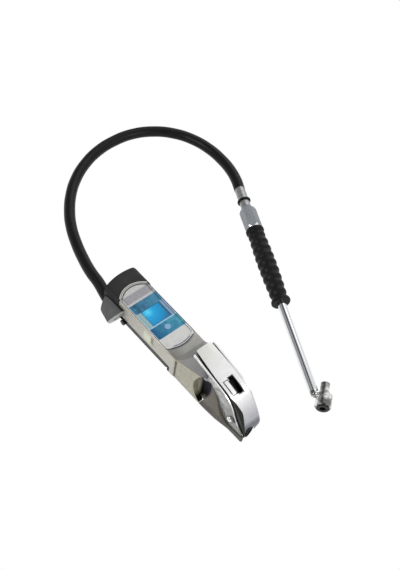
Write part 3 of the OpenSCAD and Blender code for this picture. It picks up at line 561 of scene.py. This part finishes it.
def cap_nylon(name, colour):
    """Glass-filled nylon, moulded: matt dark grey, a paler lug, and painted black shade in the crease
    between them.
    """
    material, tree, where = begin(name)
    _, y, z = places(tree, where)
    far_top = mottled(tree, where, colour, 0.12, 6)
    top = blend(tree, step(tree, y, *CAP["top_fade_y"]), rgba(colour, 0.6), far_top)
    lug = mottled(tree, where, linear("545455"), 0.08, 6)
    lug = blend(tree, step(tree, z, *CAP["lug_fade_z"]), plain("3C3B3A"), lug)
    nylon = blend(tree, step(tree, y, *CAP["lug_y"]), top, lug)
    # painted shade: a black line in the crease between the top and the lug
    nylon = blend(tree, span(tree, y, *CAP["lug_crease_shade_y"], 0.15), nylon, plain("121212"))
    return shaded(material, tree, {
        "Base Color": nylon,
        "Roughness": uneven(tree, where, 0.5, 0.65, 7),
        "IOR": 1.53,
        "Specular IOR Level": 0.2,
        "Normal": grain(tree, where, 0.6, 0.03, 0.6),
    })


def moulded_plastic(name, colour, rough, grain_mm=0.6, depth_mm=0.03):
    """Moulded plastic or lacquer with a fine even texture: matt, with a soft wide highlight."""
    material, tree, where = begin(name)
    return shaded(material, tree, {
        "Base Color": mottled(tree, where, colour, 0.08, 5),
        "Roughness": uneven(tree, where, rough - 0.05, rough + 0.08, 7),
        "IOR": 1.53,
        "Normal": grain(tree, where, grain_mm, depth_mm, 0.6),
    })


def black_rubber(name, colour, rough=0.42, shine=0.28):
    """Moulded nitrile rubber: near-black, with a soft grey sheen and a faint dusty bloom."""
    material, tree, where = begin(name)
    return shaded(material, tree, {
        "Base Color": mottled(tree, where, colour, 0.25, 7),
        "Roughness": uneven(tree, where, rough - 0.06, rough + 0.1, 6),
        "IOR": 1.52,
        "Specular IOR Level": shine,
        "Normal": grain(tree, where, 0.9, 0.03, 0.5),
    })


def hose_cover(name, colour):
    """Extruded nitrile cover with the faint imprint of its wrapping cloth and a soft highlight."""
    material, tree, where = begin(name)
    cloth = add(tree, "TexVoronoi", None, {"Vector": where, "Scale": 1000 / 1.6})
    imprint = {"Height": cloth.outputs["Distance"], "Distance": 0.03 * MM, "Strength": 0.35}
    return shaded(material, tree, {
        "Base Color": mottled(tree, where, colour, 0.25, 14),
        "Roughness": uneven(tree, where, 0.3, 0.42, 12),
        "IOR": 1.52,
        "Specular IOR Level": 0.14,
        "Normal": add(tree, "Bump", None, imprint).outputs["Normal"],
    })


def clear_acrylic(name):
    """Cast acrylic window: clear, glossy, with fine wipe scratches."""
    material, tree, where = begin(name)
    return shaded(material, tree, {
        "Base Color": (0.95, 0.99, 1.0, 1.0),
        "Roughness": uneven(tree, where, 0.02, 0.07, 3),
        "IOR": 1.49,
        "Transmission Weight": 1.0,
        "Specular IOR Level": 0.25,
        "Normal": grain(tree, where, 3, 0.002, 0.3),
    })


def circuit_laminate(name, colour):
    """Glass-epoxy laminate under solder mask, with the copper tracks showing as lighter lines."""
    material, tree, where = begin(name)
    tracks = add(tree, "TexBrick", None, {
        "Vector": where, "Scale": 150.0, "Mortar Size": 0.03,
        "Color1": rgba(colour), "Color2": rgba(colour, 1.15), "Mortar": rgba(colour, 1.9),
    })
    return shaded(material, tree, {
        "Base Color": tracks.outputs["Color"],
        "Roughness": 0.35,
        "IOR": 1.5,
        "Normal": grain(tree, where, 1.2, 0.01, 0.4),
    })


# ---- The label and the display ----

LABEL = {
    "across_y": (-19, 19),
    "grey_band_x": (-52, -38.8), "upper_blue_x": (-36.6, -36),
    "beside_x": (-22, -20.4), "beside_fade_y": (-15, 14),
    "display": ((-8, 1), (13.6, 14.8)), "display_line": (0.8, 0.2),
    "pale_line_x": (4.4, 5.0), "lower_blue_x": (6.2, 6.8), "foot_x": (25.0, 25.5),
    "arch_centre": (-32.6, 0, 0), "arch_radius": (26.5, 27.0), "arch_x": (-45, -47),
}


def label_zones(tree, where, blue):
    """The printed zones: a pale head with a grey band, blue about the display, and a pale foot."""
    x, y, _ = places(tree, where)
    across = step(tree, y, *LABEL["across_y"])
    drift = ramp(tree, cloud(tree, where, 8, 1.0), 0.4, 0.6)
    upper = blend(tree, across, plain("124866"), plain("4A88A8"))
    upper = blend(tree, drift, upper, mottled(tree, where, linear("3A7898"), 0.15, 4))
    lower = blend(tree, across, rgba(blue), plain("3A86A2"))
    lower = blend(tree, both(tree, drift, across), lower, plain("4C9AB0"))
    head = mottled(tree, where, linear("BDBDBE"), 0.08, 5)
    band = mottled(tree, where, linear("97969A"), 0.14, 3.5)
    beside = blend(tree, step(tree, y, *LABEL["beside_fade_y"]), plain("8FB0B6"), plain("84A0BC"))
    display = box_distance(tree, x, y, *LABEL["display"])
    beside = blend(tree, step(tree, display, *LABEL["display_line"]), beside, plain("2A5A78"))

    colour = blend(tree, span(tree, x, *LABEL["grey_band_x"], 1.2), head, band)
    for zone, tint in (
        ("upper_blue_x", upper),
        ("beside_x", beside),
        ("pale_line_x", plain("9CC0D8")),
        ("lower_blue_x", lower),
        ("foot_x", mottled(tree, where, linear("CCCCCB"), 0.05, 6)),
    ):
        colour = blend(tree, step(tree, x, *LABEL[zone]), colour, tint)

    arch = distance(tree, where, (1, 1, 0), LABEL["arch_centre"])
    rim = both(tree, step(tree, arch, *LABEL["arch_radius"]), step(tree, x, *LABEL["arch_x"]))
    return blend(tree, rim, colour, mottled(tree, where, linear("6F6C69"), 0.1, 5))


def printed_label(name, blue):
    """Polyester film with printed colour zones under a satin varnish."""
    material, tree, where = begin(name)
    return shaded(material, tree, {
        "Base Color": label_zones(tree, where, blue),
        "Roughness": uneven(tree, where, 0.35, 0.48, 5),
        "IOR": 1.5,
        "Specular IOR Level": 0.3,
        "Normal": grain(tree, where, 0.8, 0.004, 0.4),
    })


# painted highlight: where the display's cyan is brightest, and how far it fades
DISPLAY_HIGHLIGHT = (-18, -5, 33)
DISPLAY_HIGHLIGHT_REACH = 26


def lit_display(name, cyan):
    """Backlit display: glowing cyan with a painted highlight, brightest at one corner and deeper away
    from it.
    """
    material, tree, where = begin(name)
    away = step(tree, distance(tree, where, (1, 1, 1), DISPLAY_HIGHLIGHT), 0, DISPLAY_HIGHLIGHT_REACH)
    glow = colour_stops(
        tree, away,
        (0.0, plain("5CDDFA")), (1.0, plain("1C6E9C")), (0.3, rgba(cyan)), (0.72, plain("0A8FC6")),
    )
    return shaded(material, tree, {
        "Base Color": (0.004, 0.012, 0.02, 1.0),
        "Emission Color": glow,
        "Emission Strength": 0.92,
        "Roughness": 0.4,
        "Specular IOR Level": 0.1,
    })


# ---- Making and shaping pieces ----

EDGE_ANGLE = math.radians(28)
MERGE_DISTANCE = 0.000004
FLAT_ANGLE = math.radians(0.6)


def deselect():
    if bpy.context.object and bpy.context.object.mode != "OBJECT":
        bpy.ops.object.mode_set(mode="OBJECT")
    bpy.ops.object.select_all(action="DESELECT")


def only(piece):
    """Selects one piece and makes it the active one."""
    deselect()
    piece.select_set(True)
    bpy.context.view_layer.objects.active = piece


def paint(material, *names):
    """Gives CAD nodes a material."""
    for name in names:
        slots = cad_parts[name].data.materials
        slots.clear()
        slots.append(material)


def settle(piece, material, body, slot, *nodes):
    """Gives a finished piece its material and its body, and hides the nodes it stands for; the slot
    is not used.
    """
    piece.data.materials.clear()
    piece.data.materials.append(material)
    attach(piece, body)
    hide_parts(*nodes)
    return piece


def copied(node, name):
    """A merged copy of a CAD solid, ready to be shaped further."""
    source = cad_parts[node]
    piece = bpy.data.objects.new(name, source.data.copy())
    bpy.context.scene.collection.objects.link(piece)
    for key in [k for k in piece.keys() if k.startswith("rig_")]:
        del piece[key]
    only(piece)
    bpy.ops.object.mode_set(mode="EDIT")
    bpy.ops.mesh.select_all(action="SELECT")
    bpy.ops.mesh.remove_doubles(threshold=MERGE_DISTANCE)
    bpy.ops.mesh.customdata_custom_splitnormals_clear()
    bpy.ops.mesh.dissolve_limited(angle_limit=FLAT_ANGLE)
    bpy.ops.object.mode_set(mode="OBJECT")
    return piece


def round_edges(piece, width, steps=None):
    """Rounds a piece's edges, as casting, moulding or polishing leaves them."""
    bevel = piece.modifiers.new("Edges", "BEVEL")
    bevel.width = width
    bevel.segments = steps or sizes().edge_steps
    bevel.limit_method = "ANGLE"
    bevel.angle_limit = EDGE_ANGLE
    bevel.use_clamp_overlap = True
    bevel.miter_outer = "MITER_ARC"
    bevel.harden_normals = False
    only(piece)
    bpy.ops.object.modifier_apply(modifier=bevel.name)
    bpy.ops.object.shade_smooth_by_angle(angle=EDGE_ANGLE)
    return piece


def rounded(node, name, width):
    """A copy of a CAD solid with its edges rounded."""
    return round_edges(copied(node, name), width)


def second_finish(piece, material, chosen):
    """Gives the faces that the test picks another material."""
    piece.data.materials.append(material)
    place = len(piece.data.materials) - 1
    for face in piece.data.polygons:
        if chosen(face.center, face.normal):
            face.material_index = place


# ---- The camera and the stage come first ----

CAMERA = {
    "azimuth": 41.11, "elevation": 53.48, "roll": 10.0,
    "distance": 1.4, "target": (-0.02815, 0.09719, 0.0), "lens": 65.43,
}

LAMP_TARGET = (0, 0.08, 0)
LAMPS = (
    ("Key lamp", (-0.35, -0.95, 1.0), 9, 0.7),
    ("Side lamp", (0.95, 0.35, 0.9), 4, 0.6),
    ("Back lamp", (-0.6, 1.1, 0.8), 3, 0.9),
)

# The surroundings that polished metal mirrors: walls that pale to one side, and two dark cards.
# Each has its direction, and how nearly a ray has to point that way.
PALE_SIDE = ((0.78, 0.62, 0.0), -0.55, 0.2)
DARK_CARD = ((0.391, -0.448, 0.804), 0.88, 0.94)
DARK_STRIP = ((-0.593, 0.034, 0.804), 0.966, 0.985)


def camera_axes():
    a, e, r = (math.radians(CAMERA[k]) for k in ("azimuth", "elevation", "roll"))
    back = Vector((math.sin(a) * math.cos(e), -math.cos(a) * math.cos(e), math.sin(e)))
    level = Vector((math.cos(a), math.sin(a), 0.0))
    up = back.cross(level)
    return level * math.cos(r) + up * math.sin(r), up * math.cos(r) - level * math.sin(r), back


def add_camera(scene):
    """A camera that stands where the photograph's stood, with its roll and its lens."""
    right, up, back = camera_axes()
    lens = bpy.data.cameras.new("Camera")
    lens.lens, lens.sensor_width = CAMERA["lens"], 36
    lens.clip_start, lens.clip_end = 0.05, 20
    camera = bpy.data.objects.new("Camera", lens)
    scene.collection.objects.link(camera)
    turn = Matrix((right, up, back)).transposed().to_4x4()
    place = Vector(CAMERA["target"]) + back * CAMERA["distance"]
    camera.matrix_world = Matrix.Translation(place) @ turn
    scene.camera = camera
    scene.view_settings.view_transform = "Standard"


def add_lamps(scene):
    """Three soft lamps that all look at the object."""
    for name, place, power, size in LAMPS:
        lamp = bpy.data.lights.new(name, "AREA")
        lamp.energy, lamp.size = power, size
        lit = bpy.data.objects.new(name, lamp)
        lit.location = place
        toward = Vector(LAMP_TARGET) - Vector(place)
        lit.rotation_euler = toward.to_track_quat("-Z", "Y").to_euler()
        scene.collection.objects.link(lit)


def add_floor():
    """A paper sweep that takes shadows and reads as pure white to the camera and in mirrors."""
    deselect()
    bpy.ops.mesh.primitive_plane_add(size=12, location=(0, 0, -0.0002))
    floor = bpy.context.object
    floor.name = "floor"
    material, tree, _ = begin("Matt white paper sweep")
    rays = add(tree, "LightPath").outputs
    shown = calc(tree, "MAXIMUM", rays["Is Camera Ray"], rays["Is Glossy Ray"])
    shown = calc(tree, "MAXIMUM", shown, rays["Is Transmission Ray"])
    paper = add(tree, "BsdfDiffuse", None, {"Color": (0.9, 0.9, 0.9, 1)}).outputs[0]
    white = add(tree, "Emission", None, {"Color": (1, 1, 1, 1), "Strength": 1.0}).outputs[0]
    close(tree, add(tree, "MixShader", None, {0: shown, 1: paper, 2: white}))
    floor.data.materials.append(material)


def facing(tree, toward, direction, low, high):
    """How nearly each ray points in a direction, from 0 to 1."""
    sockets = {0: toward, 1: direction}
    share = add(tree, "VectorMath", {"operation": "DOT_PRODUCT"}, sockets).outputs["Value"]
    return ramp(tree, share, low, high)


def background(tree, colour, strength):
    sockets = {"Color": colour, "Strength": strength}
    return add(tree, "Background", None, sockets).outputs[0]


def add_world(scene):
    """White to the camera, even light on the pieces, and walls with dark cards in the mirrors."""
    world = bpy.data.worlds.new("White studio")
    scene.world = world
    world.use_nodes = True
    tree = world.node_tree
    tree.nodes.clear()
    rays = add(tree, "LightPath").outputs
    toward = add(tree, "TexCoord").outputs["Generated"]
    walls = facing(tree, toward, *PALE_SIDE)
    walls = blend(tree, walls, (0.36, 0.36, 0.38, 1), (0.86, 0.86, 0.86, 1))
    walls = blend(tree, facing(tree, toward, *DARK_CARD), walls, (0.0, 0.0, 0.0, 1))
    walls = blend(tree, facing(tree, toward, *DARK_STRIP), walls, (0.05, 0.05, 0.05, 1))
    seen, lit = background(tree, (1, 1, 1, 1), 1.0), background(tree, (1, 1, 1, 1), 0.5)
    sockets = {0: rays["Is Glossy Ray"], 1: lit, 2: background(tree, walls, 1.0)}
    unseen = add(tree, "MixShader", None, sockets).outputs[0]
    whole = add(tree, "MixShader", None, {0: rays["Is Camera Ray"], 1: unseen, 2: seen})
    add(tree, "OutputWorld", None, {"Surface": whole.outputs[0]})


class OBJECT_OT_inflator_stage(bpy.types.Operator):
    """Adds the camera, the lamps, the floor and the white surroundings"""

    bl_idname = "object.inflator_stage"
    bl_label = "Stage"

    def execute(self, context):
        add_camera(context.scene)
        add_lamps(context.scene)
        add_floor()
        add_world(context.scene)
        return {"FINISHED"}


# ---- The hose ----

# The hose's centreline in millimetres, from inside the lug, over the table, to the ferrule
ROUTE = [
    (-72.1, -24.63, 16), (-86.3, -21.35, 16), (-103, -17.6, 16), (-125, -14, 13.5),
    (-150.5, -7, 10), (-179, 2.5, 8.2), (-206, 14.2, 8), (-230.5, 29.6, 8),
    (-252.3, 48.2, 8), (-270.8, 70, 8), (-286.6, 97.7, 8), (-297, 130, 8),
    (-299.5, 160.5, 8), (-295, 192.3, 8), (-281.5, 221, 8), (-260.5, 244.2, 8),
    (-233.7, 260, 8), (-204.3, 267.4, 8.2), (-175.7, 267, 9.6), (-154, 262.6, 12),
    (-133.5, 255.5, 13.6), (-116, 246.95, 13.6),
]


class OBJECT_OT_inflator_hose(bpy.types.Operator):
    """Makes the rubber hose, one smooth curve from the outlet to the ferrule"""

    bl_idname = "object.inflator_hose"
    bl_label = "Hose"

    def execute(self, context):
        line = bpy.data.curves.new("hose_line", "CURVE")
        line.dimensions = "3D"
        line.bevel_depth = sizes().hose_diameter / 2
        line.bevel_resolution = 8
        line.resolution_u = 8
        line.use_fill_caps = True
        spline = line.splines.new("BEZIER")
        spline.bezier_points.add(len(ROUTE) - 1)
        for point, place in zip(spline.bezier_points, ROUTE):
            point.co = Vector(place) * MM
            point.handle_left_type = point.handle_right_type = "AUTO"
        hose = bpy.data.objects.new("hose_rubber", line)
        context.scene.collection.objects.link(hose)
        line.materials.append(hose_cover("Extruded hose rubber", colours().rubber))
        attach(hose, "inflator")
        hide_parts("hose")
        return {"FINISHED"}


# ---- The head and the display ----


class OBJECT_OT_inflator_head(bpy.types.Operator):
    """Dresses the head casting, its back cover, screws, pad and buffer"""

    bl_idname = "object.inflator_head"
    bl_label = "Head"

    def execute(self, context):
        coating = head_coat("Satin silver coat on die-cast zinc", colours().casting)
        shell = rounded("head_casting", "head_shell", sizes().casting_edge)
        settle(shell, coating, "inflator", "cast_zinc", "head_casting")
        plastic = moulded_plastic("Moulded black ABS", linear("222224"), 0.48)
        tray = rounded("back_cover", "back_tray", sizes().moulded_edge)
        settle(tray, plastic, "inflator", "black_plastic", "back_cover")
        screws = brushed_plate("Zinc plated screw steel", linear("9B9EA2"), 0.3)
        paint(screws, "cover_screws", "cap_screws", "handle_screws", "block_screws")
        rubber = black_rubber("Moulded pad rubber", colours().rubber)
        paint(rubber, "rest_pad", "side_buffer", "display_gasket")
        return {"FINISHED"}


# The rim's groove, in metres, and where its finishes change, in millimetres
GROOVE_BORDER, GROOVE_DEPTH = 0.0011, 0.0004
TOP_TOLERANCE, TOP_BAND = 0.0001, 0.0012
RIM = {"arc_x": -48, "label_y": -17, "outer_y": 21.6, "outer_x": 43}
RIM_ROUNDING, RIM_STEPS = 0.0002, 2

# The rim's material slots
LACQUER, FILLED, DARK_LINE, PRINTED = range(4)


def cut_groove(rim, top):
    """Sinks a groove into the rim's top face, and returns the numbers of its faces."""
    bpy.ops.object.mode_set(mode="EDIT")
    bpy.ops.mesh.select_mode(type="FACE")
    bpy.ops.mesh.select_all(action="DESELECT")
    bpy.ops.object.mode_set(mode="OBJECT")
    for face in rim.data.polygons:
        face.select = face.normal.z > 0.9 and face.center.z > top - TOP_TOLERANCE
    bpy.ops.object.mode_set(mode="EDIT")
    bpy.ops.mesh.inset(thickness=GROOVE_BORDER, depth=-GROOVE_DEPTH)
    bpy.ops.object.mode_set(mode="OBJECT")
    return {face.index for face in rim.data.polygons if face.select}


def rim_finish(face, top, groove):
    """The material slot of one of the rim's faces."""
    x, y, z = face.center
    on_label = y > RIM["label_y"] * MM
    # painted shade: the side walls, and the outer edge on the label side, are darkened for the rim's
    # outline
    if face.normal.z < 0.5 or z < top - TOP_BAND:
        return DARK_LINE if abs(face.normal.z) < 0.2 else LACQUER
    if x < RIM["arc_x"] * MM:
        return LACQUER
    if face.index in groove:
        return PRINTED if on_label else FILLED
    if abs(y) > RIM["outer_y"] * MM or x > RIM["outer_x"] * MM:
        return DARK_LINE if on_label else LACQUER
    return PRINTED


class OBJECT_OT_inflator_display(bpy.types.Operator):
    """Dresses the rim, the label, the window, the lit display and the units button"""

    bl_idname = "object.inflator_display"
    bl_label = "Display"

    def execute(self, context):
        rim = copied("bezel", "bezel_rim")
        top = max(v.co.z for v in rim.data.vertices)
        groove = cut_groove(rim, top)
        label = printed_label("Printed polyester label", colours().label)
        lacquer = moulded_plastic(
            "Satin silver lacquer on the rim", linear("C2C1BD"), 0.4, 0.8, 0.005
        )
        settle(rim, lacquer, "inflator", "satin_rim", "bezel")
        for material in (
            moulded_plastic("Grey-brown filled groove", linear("6A6660"), 0.6),
            moulded_plastic("Painted shade on the rim's outline", linear("4A5058"), 0.5),
            label,
        ):
            rim.data.materials.append(material)
        for face in rim.data.polygons:
            face.material_index = rim_finish(face, top, groove)
        round_edges(rim, RIM_ROUNDING, RIM_STEPS)
        paint(label, "label_overlay")
        paint(clear_acrylic("Clear cast acrylic"), "display_window")
        paint(lit_display("Backlit display glass", colours().display), "lcd_panel")
        button = moulded_plastic("Pale blue soft-touch button", linear("7FA6CC"), 0.45)
        paint(button, "unit_button")
        return {"FINISHED"}


class OBJECT_OT_inflator_electronics(bpy.types.Operator):
    """Dresses the board, the cells and the other pieces inside the head"""

    bl_idname = "object.inflator_electronics"
    bl_label = "Electronics"

    def execute(self, context):
        guide = moulded_plastic("Milky acrylic light guide", linear("E8EEF2"), 0.3, 2, 0.01)
        paint(guide, "backlight")
        paint(circuit_laminate("Green circuit laminate", linear("1F6B3A")), "circuit_board")
        epoxy = moulded_plastic("Black epoxy package", linear("1C1C1F"), 0.4, 0.4, 0.02)
        paint(epoxy, "board_chips", "button_switch", "battery_tray")
        paint(brushed_plate("Nickel plated sensor can", linear("C9CCD0"), 0.25), "pressure_sensor")
        sleeve = moulded_plastic("Plain green cell sleeve", linear("5F8F4E"), 0.3, 1.5, 0.01)
        paint(sleeve, "batteries")
        paint(brushed_plate("Spring brass strip", linear("C8A850"), 0.3), "battery_contacts")
        return {"FINISHED"}


# ---- The outlet, the handle, the lever and the valve ----


class OBJECT_OT_inflator_outlet(bpy.types.Operator):
    """Dresses the end cap with its hose lug, the plug and the fittings in it"""

    bl_idname = "object.inflator_outlet"
    bl_label = "Outlet"

    def execute(self, context):
        nylon = cap_nylon("Dark grey moulded nylon", colours().cap)
        cap = rounded("end_cap", "end_cap_shell", sizes().moulded_edge)
        settle(cap, nylon, "inflator", "grey_plastic", "end_cap")
        flange = rounded("outlet_plug", "outlet_flange", sizes().turned_edge)
        anodised = moulded_plastic("Satin anodised plug", linear("A8A8A5"), 0.4, 1.2, 0.006)
        settle(flange, anodised, "inflator", "plug_metal", "outlet_plug")
        brass = brushed_plate("Machined brass", linear("C9A24A"), 0.25)
        paint(
            brass, "outlet_fitting", "inlet_filter", "valve_sleeve", "front_depressor",
            "rear_depressor",
        )
        paint(brushed_plate("Drawn copper tube", linear("B5794A"), 0.3), "air_tube")
        return {"FINISHED"}


def on_upper_edge(centre, normal):
    """The edge of a cheek that looks up."""
    return normal.z > 0.25 and centre.z > 20 * MM


def on_near_side_or_below(centre, normal):
    """The near side and the underside of the lever."""
    return normal.y < -0.9 or normal.z < -0.1


class OBJECT_OT_inflator_handle(bpy.types.Operator):
    """Dresses the handle casting, the valve block and the two cheek plates"""

    bl_idname = "object.inflator_handle"
    bl_label = "Handle"

    def execute(self, context):
        coating = handle_coat("Satin coat on the handle casting", linear("A8A595"))
        handle = rounded("handle_casting", "handle_shell", sizes().casting_edge)
        settle(handle, coating, "inflator", "cast_zinc", "handle_casting")
        taupe = block_coat("Satin taupe coat on the valve block", colours().block)
        block = rounded("valve_block", "valve_block_shell", sizes().casting_edge)
        settle(block, taupe, "inflator", "block_paint", "valve_block")
        plate = cheek_plate("Satin plate with painted reflections on pressed steel")
        # painted highlight: a brighter chrome on the faces that look up, for the white line along the
        # cheeks' top edge
        edge = chrome_plate("Painted highlight on the cheek plates' upper edge", linear("FAFAFA"), 0.2)
        for node, name in (("left_cheek", "near_cheek_plate"), ("right_cheek", "far_cheek_plate")):
            cheek = rounded(node, name, sizes().plate_edge)
            settle(cheek, plate, "inflator", "bright_plate", node)
            second_finish(cheek, edge, on_upper_edge)
        return {"FINISHED"}


class OBJECT_OT_inflator_lever(bpy.types.Operator):
    """Dresses the squeeze lever, its pad, its pin and the pin's clip"""

    bl_idname = "object.inflator_lever"
    bl_label = "Lever"

    def execute(self, context):
        lever = rounded("lever", "lever_shell", sizes().plate_edge)
        chrome = lever_chrome("Satin chrome plate on the lever")
        settle(lever, chrome, "trigger", "bright_plate", "lever")
        # painted shade: the near side and underside of the lever are made near-black
        dark = moulded_plastic("Painted shade on the lever's near side and underside", linear("1B1C1A"), 0.45)
        second_finish(lever, dark, on_near_side_or_below)
        pin = rounded("lever_pin", "lever_pin_head", sizes().turned_edge)
        steel = pin_steel("Polished pin steel")
        settle(pin, steel, "inflator", "bright_plate", "lever_pin")
        pad = brushed_plate("Hardened steel pad", linear("B9BCBF"), 0.3)
        paint(pad, "lever_button", "pin_clip")
        return {"FINISHED"}


class OBJECT_OT_inflator_valve(bpy.types.Operator):
    """Dresses the valve's plunger, gland, springs and silencer, and the inlet's collar"""

    bl_idname = "object.inflator_valve"
    bl_label = "Valve"

    def execute(self, context):
        steel = brushed_plate("Ground stainless steel", linear("C4C7CA"), 0.22)
        paint(
            steel, "valve_plunger", "plunger_spring", "front_spring", "rear_spring",
            "valve_gland", "inlet_bush",
        )
        paint(sintered_bronze("Sintered bronze", linear("8E8A78")), "exhaust_silencer")
        seals = black_rubber("Nitrile seal rubber", colours().rubber, 0.35)
        paint(seals, "plunger_seal", "swivel_seal", "front_seal", "rear_seal")
        rubber = black_rubber("Moulded collar rubber", colours().rubber, 0.4)
        collar = rounded("inlet_collar", "inlet_collar_ring", sizes().turned_edge)
        settle(collar, rubber, "inflator", "black_rubber", "inlet_collar")
        return {"FINISHED"}


# ---- The connector ----

# The connector's turn from the frame's X, in degrees
CONNECTOR_TURN = -26.1


def on_front_chamfer(centre, normal):
    """The turned chamfer at the nut's front end, except where it faces the table."""
    turn = math.radians(CONNECTOR_TURN)
    along = Vector((math.cos(turn), math.sin(turn), 0))
    return 0.2 < normal.dot(along) < 0.9 and normal.z > -0.2


class OBJECT_OT_inflator_connector(bpy.types.Operator):
    """Dresses the ferrule, the swivel, the nut, the grip, the tube and the twin chuck"""

    bl_idname = "object.inflator_connector"
    bl_label = "Connector"

    def execute(self, context):
        swage = brushed_plate("Swaged zinc plated ferrule", linear("A2A3A4"), 0.42)
        paint(swage, "hose_ferrule", "hose_stem")
        nickel = nut_plate("Blasted nickel plate on the nut", colours().nut)
        nut = rounded("connector_nut", "connector_hex", sizes().turned_edge)
        settle(nut, nickel, "connector", "nut_metal", "connector_nut")
        # bright turned chamfer, partly a painted highlight: kept off the faces towards the table,
        # which stay darker
        bright = chrome_plate("Bright turned chamfer", linear("F4F4F4"), 0.15)
        second_finish(nut, bright, on_front_chamfer)
        grip = black_rubber("Moulded ribbed grip rubber", colours().rubber, 0.44, shine=0.14)
        paint(grip, "grip_sleeve", "swivel_ring")
        tube = chrome_plate("Bright chrome plate on drawn tube", linear("E4E6E8"), 0.03)
        paint(tube, "connector_tube")
        paint(chuck_plate("Chrome plate on the chuck with painted shade patches"), "chuck_body", "front_nozzle")
        return {"FINISHED"}


OPERATORS = (
    OBJECT_OT_inflator_stage, OBJECT_OT_inflator_hose, OBJECT_OT_inflator_head,
    OBJECT_OT_inflator_display, OBJECT_OT_inflator_electronics, OBJECT_OT_inflator_outlet,
    OBJECT_OT_inflator_handle, OBJECT_OT_inflator_lever, OBJECT_OT_inflator_valve,
    OBJECT_OT_inflator_connector,
)


class VIEW3D_PT_inflator(bpy.types.Panel):
    """Lists the pieces of the inflator"""

    bl_label = "Tyre inflator"
    bl_space_type = "VIEW_3D"
    bl_region_type = "UI"
    bl_category = "Inflator"

    def draw(self, context):
        for operator in OPERATORS:
            self.layout.operator(operator.bl_idname)
        for group in (sizes(), colours()):
            for key in group.__annotations__:
                self.layout.prop(group, key)


CLASSES = (InflatorSizes, InflatorColours, *OPERATORS, VIEW3D_PT_inflator)


def register():
    for cls in CLASSES:
        bpy.utils.register_class(cls)
    bpy.types.Scene.inflator_sizes = PointerProperty(type=InflatorSizes)
    bpy.types.Scene.inflator_colours = PointerProperty(type=InflatorColours)


def unregister():
    del bpy.types.Scene.inflator_colours
    del bpy.types.Scene.inflator_sizes
    for cls in reversed(CLASSES):
        bpy.utils.unregister_class(cls)


def main():
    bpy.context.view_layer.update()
    register()
    for operator in OPERATORS:
        group, name = operator.bl_idname.split(".")
        getattr(getattr(bpy.ops, group), name)()


if __name__ == "__main__":
    main()
